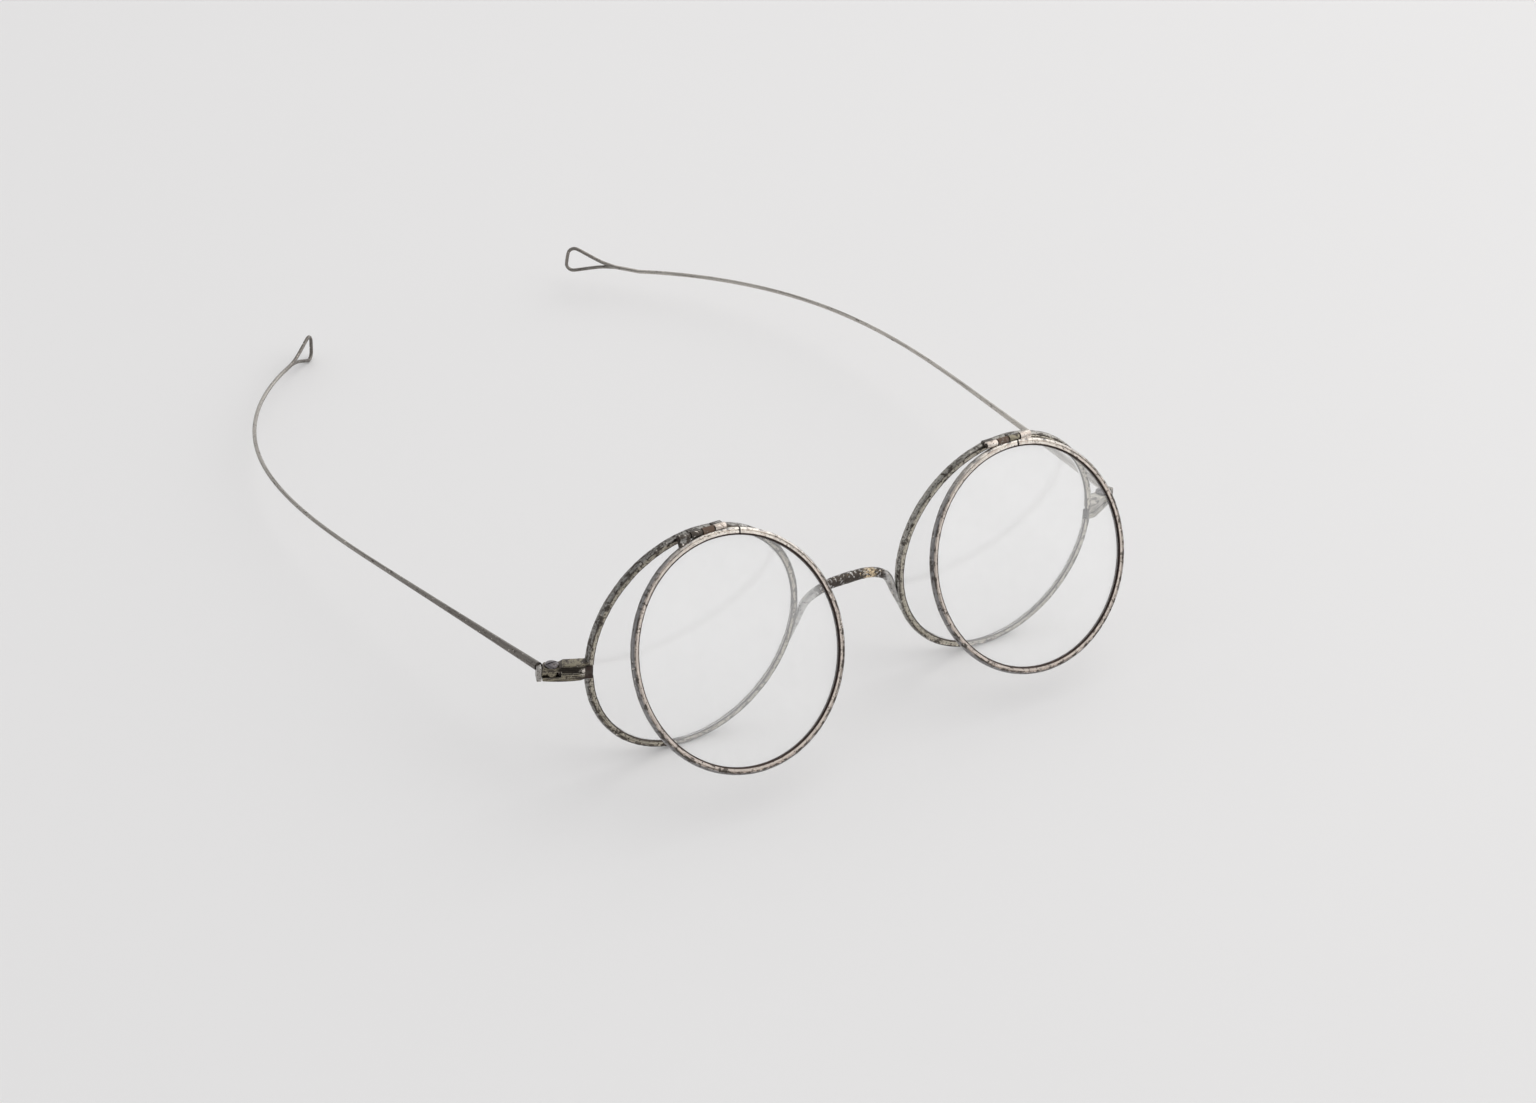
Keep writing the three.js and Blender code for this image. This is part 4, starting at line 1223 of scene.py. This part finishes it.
class SPECTACLES_OT_joints(bpy.types.Operator):
    """Shape the split endpiece joints and turn their screws"""

    bl_idname = "spectacles.joints"
    bl_label = "Joints and screws"

    def plan(self, joint):
        """A tall blank with the outline of a joint from above"""
        half = joint.width / 2
        root = joint.root_width / 2
        turn = math.asin(min(1, half / joint.end_reach))
        arc = []
        for k in range(11):
            x, y = math.cos(turn * k / 10), math.sin(turn * k / 10)
            arc.append((joint.pivot_reach + joint.end_reach * x, joint.end_reach * y))
        start = joint.root_length
        outline = [(0, -root), (start, -half), (joint.end, -half), *arc, (start, half), (0, root)]
        return quarter_turned(blank(outline, CUT_LENGTH), "X", -1)

    def upper(self, joint):
        """Outline of the upper half from the front"""
        split = joint.split / 2
        block = joint.outer + joint.block_rise
        block_end = joint.pivot_reach - joint.screw_head_radius - joint.screw_clearance
        start = (joint.block_start, block)
        slope = bent(start, (joint.block_start / 2, block), (0, block + joint.rim_rise), count=8)
        return [
            (0, split), (joint.shoulder, split), (joint.shoulder, joint.inner), (joint.end, joint.inner),
            (joint.end, joint.outer), (block_end, joint.outer), (block_end - joint.block_ramp, block),
            start, *slope,
        ]

    def lower(self, joint):
        """Outline of the lower half from the front"""
        split = -joint.split / 2
        corner = (joint.end, -joint.outer)
        lowest = (joint.end / 2, -joint.outer - 2 * joint.belly)
        belly = bent(corner, lowest, (0, -joint.outer), count=12)
        return [
            (0, split), (joint.shoulder, split), (joint.shoulder, -joint.inner), (joint.end, -joint.inner),
            corner, *belly,
        ]

    def half(self, joint, outline, out, rounding):
        """One half of a joint; out is 1 where its outer side is the top, and -1 where it is the bottom"""
        piece = blank(outline, joint.width)
        carve(piece, self.plan(joint), "INTERSECT")

        def long_edge(edge):
            slopes = sorted(face.normal.z * out for face in edge.link_faces)
            return len(slopes) == 2 and slopes[1] > 0.7 and abs(slopes[0]) < 0.3

        # Faces that look into the split between the halves take the third finish: dark metal as painted shade
        # in the slot
        def inside(face):
            return face.normal.z * out < -0.8 and abs(face.calc_center_median().z) < 0.5

        edit(piece)
        pick("EDGE", long_edge)
        bpy.ops.mesh.bevel(offset=rounding, segments=5, affect="EDGES", clamp_overlap=True)
        done()
        carve(piece, shifted(rod(joint.hole, CUT_LENGTH, "Z", sides=32), joint.pivot_reach, 0, 0))
        soften(piece, width=0.09)
        return refinish(piece, 2, inside)

    def screw(self, joint):
        foot = -joint.outer
        seat = joint.outer + SOLDER_GAP
        crown = seat + joint.screw_head_height
        edge = seat + joint.screw_head_edge
        radius = joint.screw_head_radius
        shank = [(0, foot), (joint.shank_radius, foot), (joint.shank_radius, seat), (radius, seat)]
        head = dome(radius, edge, crown - edge, count=8)
        piece = lathed([*shank, *head, (0, crown)], steps=48)
        half = joint.slot_width / 2
        carve(piece, box((-2 * radius, -half, crown - joint.slot_depth), (2 * radius, half, crown + 1)))
        return soften(piece, width=0.04)

    def block(self, joint, side):
        """The block that closes an eyewire, cut out where the rim's ends meet it; its near-black finish is
        partly dark metal and partly painted shade where the joint's slot opens at the rim
        """
        front, out, tall = BLOCK_REACH[side]
        inwards, back = 0.66, joint.root_width / 2 - 0.04
        cut_half, cut_end = 0.47, -0.05
        block = box((-inwards, -front, -tall), (out, back, tall))
        soften(block, width=0.16, segments=3)
        return carve(block, box((-1, -cut_half, -2), (cut_end, cut_half, 2)))

    def execute(self, context):
        joint = joint_sizes()
        halves = (("upper", self.upper(joint), 1, 0.3), ("lower", self.lower(joint), -1, 0.55))
        for side in SIDES:
            root = swept_place(side) @ Matrix.Translation((-joint.pivot_reach * MM, 0, 0))
            finish = joint_metal(side, root @ (MM * Vector((1.0, -0.9, 0.3))))
            for label, outline, out, rounding in halves:
                name = f"{side}_joint_{label}"
                # The rounded edges take a pale finish that is partly rubbed metal and partly a painted
                # highlight
                settle(
                    self.half(joint, outline, out, rounding), name + "_half", root, finish, name,
                    # The faces inside the split take dark metal as painted shade of the slot
                    edge=metal("rubbed_edge_metal"), inside=metal("closing_block_metal"),
                )
            # Near-black closing block: dark metal, and painted shade where the joint's slot opens at the rim
            settle(
                self.block(joint, side), side + "_closing_block", root, metal("closing_block_metal"),
                side + "_joint_lower",
            )
            settle(
                self.screw(joint), side + "_joint_screw_turned", screw_place(side), metal("screw_metal"),
                side + "_joint_screw",
            )
        return {"FINISHED"}


class SPECTACLES_OT_temples(bpy.types.Operator):
    """Draw the temple wires and loops and shape the tongues that the joints hold"""

    bl_idname = "spectacles.temples"
    bl_label = "Temples"

    def axes(self, temple, side, distance):
        """The wire's own axes at a distance along it: across, along and up"""
        eased = min(max(distance - temple.straight, 0), temple.ease)
        curled = min(max(distance - temple.straight - temple.ease, 0), temple.curl)
        heading = (eased ** 2 / (2 * temple.ease) + curled) / temple.curl_radius - temple.spread
        lift = TAIL_LIFT[side] if distance > temple.tail_start else 0
        droop = Matrix.Rotation(-math.radians(TEMPLE_DROP[side]), 3, "X")
        turn = Matrix.Rotation(heading, 3, "Z")
        return (droop @ turn @ Matrix.Rotation(math.radians(lift), 3, "X")).transposed()

    def path(self, temple, joint, side):
        """Distances along the wire, each with the place that it reaches there"""
        root = Vector((temple.butt_middle, temple.root_offset, temple.root_rise))
        place = Matrix.Rotation(joint.sweep, 3, "Z") @ root
        step = temple.total / WIRE_STEPS
        row = [(0, place)]
        for k in range(WIRE_STEPS):
            place = place + step * self.axes(temple, side, (k + 0.5) * step)[1]
            row.append(((k + 1) * step, place))
        return row

    def loop(self, temple, side, end):
        axes = self.axes(temple, side, temple.total)
        radius, neck = temple.loop_corner, temple.loop_neck
        centre = Vector((temple.loop_length - radius, temple.loop_half_height - radius))
        slope = math.atan2(centre.y, centre.x) + math.asin(radius / centre.length)
        turns = [(slope + math.pi / 2) * (1 - k / 6) for k in range(7)]
        corner = [centre + radius * Vector((math.cos(turn), math.sin(turn))) for turn in turns]
        half = [Vector((-neck, 0)), Vector((neck, neck * math.tan(slope))), *corner]
        outline = [*half, *[Vector((a.x, -a.y)) for a in reversed(half)]]
        places = through([end + a.x * axes[1] + a.y * axes[2] for a in outline], LOOP_STEPS)
        return wire(places, [temple.loop_wire / 2] * len(places))

    def drawn(self, temple, joint, side):
        """The wire with its loop, and the grain along it"""
        row = self.path(temple, joint, side)
        radii = []
        for distance, _ in row:
            left = max(0, 1 - distance / temple.taper) ** 2
            radii.append((temple.tip_diameter + (temple.root_diameter - temple.tip_diameter) * left) / 2)
        piece = joined(wire([place for _, place in row], radii), self.loop(temple, side, row[-1][1]))
        tree = KDTree(len(row))
        for index, (_, place) in enumerate(row):
            tree.insert(place, index)
        tree.balance()

        def along(place):
            _, index, _ = tree.find(place)
            distance, middle = row[index]
            axes = self.axes(temple, side, distance)
            off = place - middle
            return (distance + off.dot(axes[1]), off.dot(axes[0]), off.dot(axes[2]))

        mark_grain(piece, along)
        return piece

    def tongue(self, temple, joint):
        half, neck = temple.tongue_thickness / 2, temple.tongue_neck / 2
        piece = rod(temple.tongue_radius, temple.tongue_thickness, "Z", sides=40)
        carve(piece, box((0, -neck, -half), (temple.butt_middle, neck, half)), "UNION")
        carve(piece, rod(joint.hole, CUT_LENGTH, "Z", sides=32))
        return soften(piece, width=0.05)

    def butt(self, temple, joint):
        start, half, tall = temple.butt_start, joint.width / 2, joint.outer
        plate = box((start, -half, -tall), (start + temple.butt_thickness, half, tall))
        return uneven(soften(plate, width=0.16, segments=3), grain=0.9, height=0.06)

    def execute(self, context):
        temple = temple_sizes()
        joint = joint_sizes()
        for side in SIDES:
            name = side + "_temple"
            body = side + "_arm"
            root = swept_place(side)
            piece = self.drawn(temple, joint, side)
            settle(piece, name + "_wire", pivot_place(side), wire_metal(side), name, body=body)
            piece = self.tongue(temple, joint)
            settle(piece, name + "_tongue", root, metal("olive_knuckle_metal"), name, body=body)
            piece = self.butt(temple, joint)
            settle(piece, name + "_butt", root, metal("butt_plate_metal"), name, body=body)
        return {"FINISHED"}


class SPECTACLES_OT_stage(bpy.types.Operator):
    """Lay the paper, hang the soft lights and set up the camera"""

    bl_idname = "spectacles.stage"
    bl_label = "Stage"

    def paper(self, stage):
        board = material_board("white_paper")
        dim, bright = (tuple(min(1, scale * v) for v in stage.paper) for scale in (0.985, 1.015))
        board.link(board.mix(board.noise(board.millimetres(), 0.004, 4), dim, bright), "Base Color")
        board.fix("Roughness", 0.9)
        board.fix("Specular IOR Level", 0.1)
        return board.holder

    def studio(self, stage):
        """Light from all round, brighter low down and towards the back right"""
        board = Board(bpy.data.worlds.new("studio"), "Background")
        way = board.add("ShaderNodeTexCoord").outputs["Generated"]
        values = {"Value": board.split(way)["Z"], "From Min": 0.1, "From Max": 0.8}
        values.update({"To Min": stage.horizon, "To Max": stage.ceiling})
        rise = board.add("ShaderNodeMapRange", values).outputs[0]
        share = board.maths("ADD", board.vectors("DOT_PRODUCT", way, (0.48, 0.2, 0)), 1, clamp=False)
        board.link(board.maths("MULTIPLY", rise, share, clamp=False), "Strength")
        board.fix("Color", (1, 1, 1, 1))
        return board.holder

    def lamp(self, name, place, size, power, tone):
        fresh()
        bpy.ops.object.light_add(type="AREA", location=place)
        lamp = bpy.context.object
        lamp.name = name
        lamp.data.name = name
        lamp.data.shape = "SQUARE"
        lamp.data.size = size
        lamp.data.energy = power
        lamp.data.color = tone
        lamp.rotation_euler = (-Vector(place)).to_track_quat("-Z", "Y").to_euler()

    def camera(self, context, stage):
        a, e = stage.azimuth, stage.elevation
        ahead = Vector((-math.sin(a) * math.cos(e), math.cos(a) * math.cos(e), -math.sin(e)))
        right = Vector((math.cos(a), math.sin(a), 0))
        down = ahead.cross(right)
        axes = Matrix((right, -down, -ahead)).transposed() @ Matrix.Rotation(stage.roll, 3, "Z")
        offset = Vector(CAMERA_OFFSET) * MM
        eye = -(axes @ Vector((offset.x, -offset.y, -offset.z)))
        fresh()
        bpy.ops.object.camera_add()
        camera = context.object
        camera.name = "photo_camera"
        camera.data.sensor_fit = "HORIZONTAL"
        camera.data.sensor_width = 36
        camera.data.lens = stage.focal
        camera.data.clip_start = 0.01
        camera.matrix_world = front_place() @ Matrix.Translation(eye) @ axes.to_4x4()
        context.scene.camera = camera

    def execute(self, context):
        stage = context.scene.spectacles.stage
        context.scene.view_settings.view_transform = "Standard"
        fresh()
        bpy.ops.mesh.primitive_plane_add(size=6)
        floor = context.object
        floor.name = "paper_floor"
        floor.data.materials.append(self.paper(stage))
        context.scene.world = self.studio(stage)
        self.lamp("key_softbox", (0.78, -0.14, 0.83), size=2.0, power=stage.key, tone=(1, 0.985, 0.965))
        self.lamp("fill_softbox", (-0.862, 0.173, 0.748), size=1.4, power=stage.fill, tone=(0.95, 0.98, 1))
        self.camera(context, stage)
        return {"FINISHED"}


class SpectacleSettings(bpy.types.PropertyGroup):
    """All settings of the spectacles"""

    rims: PointerProperty(name="Rims", description="Eyewires, flip rims and lenses", type=RimSizes)
    hinges: PointerProperty(name="Hinges", description="Top hinges", type=HingeSizes)
    joints: PointerProperty(name="Joints", description="Endpiece joints and screws", type=JointSizes)
    temples: PointerProperty(name="Temples", description="Temple wires and tongues", type=TempleSizes)
    bridge: PointerProperty(name="Bridge", description="Bridge between the eyewires", type=BridgeSizes)
    finishes: PointerProperty(name="Finishes", description="Metal and glass colours", type=Finishes)
    stage: PointerProperty(name="Stage", description="Floor, light and camera", type=StageSettings)


OPERATORS = (
    SPECTACLES_OT_eyewires,
    SPECTACLES_OT_flip_rims,
    SPECTACLES_OT_lenses,
    SPECTACLES_OT_hinges,
    SPECTACLES_OT_bridge,
    SPECTACLES_OT_joints,
    SPECTACLES_OT_temples,
    SPECTACLES_OT_stage,
)


class SPECTACLES_PT_panel(bpy.types.Panel):
    """Lists the steps that make the spectacles"""

    bl_idname = "SPECTACLES_PT_panel"
    bl_label = "Spectacles"
    bl_space_type = "VIEW_3D"
    bl_region_type = "UI"
    bl_category = "Spectacles"

    def draw(self, context):
        for operator in OPERATORS:
            self.layout.operator(operator.bl_idname)


CLASSES = (
    RimSizes,
    HingeSizes,
    JointSizes,
    TempleSizes,
    BridgeSizes,
    Finishes,
    StageSettings,
    SpectacleSettings,
    *OPERATORS,
    SPECTACLES_PT_panel,
)


def register():
    for cls in CLASSES:
        bpy.utils.register_class(cls)
    bpy.types.Scene.spectacles = PointerProperty(type=SpectacleSettings)


def unregister():
    del bpy.types.Scene.spectacles
    for cls in reversed(CLASSES):
        bpy.utils.unregister_class(cls)


def main():
    register()
    bpy.ops.spectacles.eyewires()
    bpy.ops.spectacles.flip_rims()
    bpy.ops.spectacles.lenses()
    bpy.ops.spectacles.hinges()
    bpy.ops.spectacles.bridge()
    bpy.ops.spectacles.joints()
    bpy.ops.spectacles.temples()
    bpy.ops.spectacles.stage()


if __name__ == "__main__":
    main()
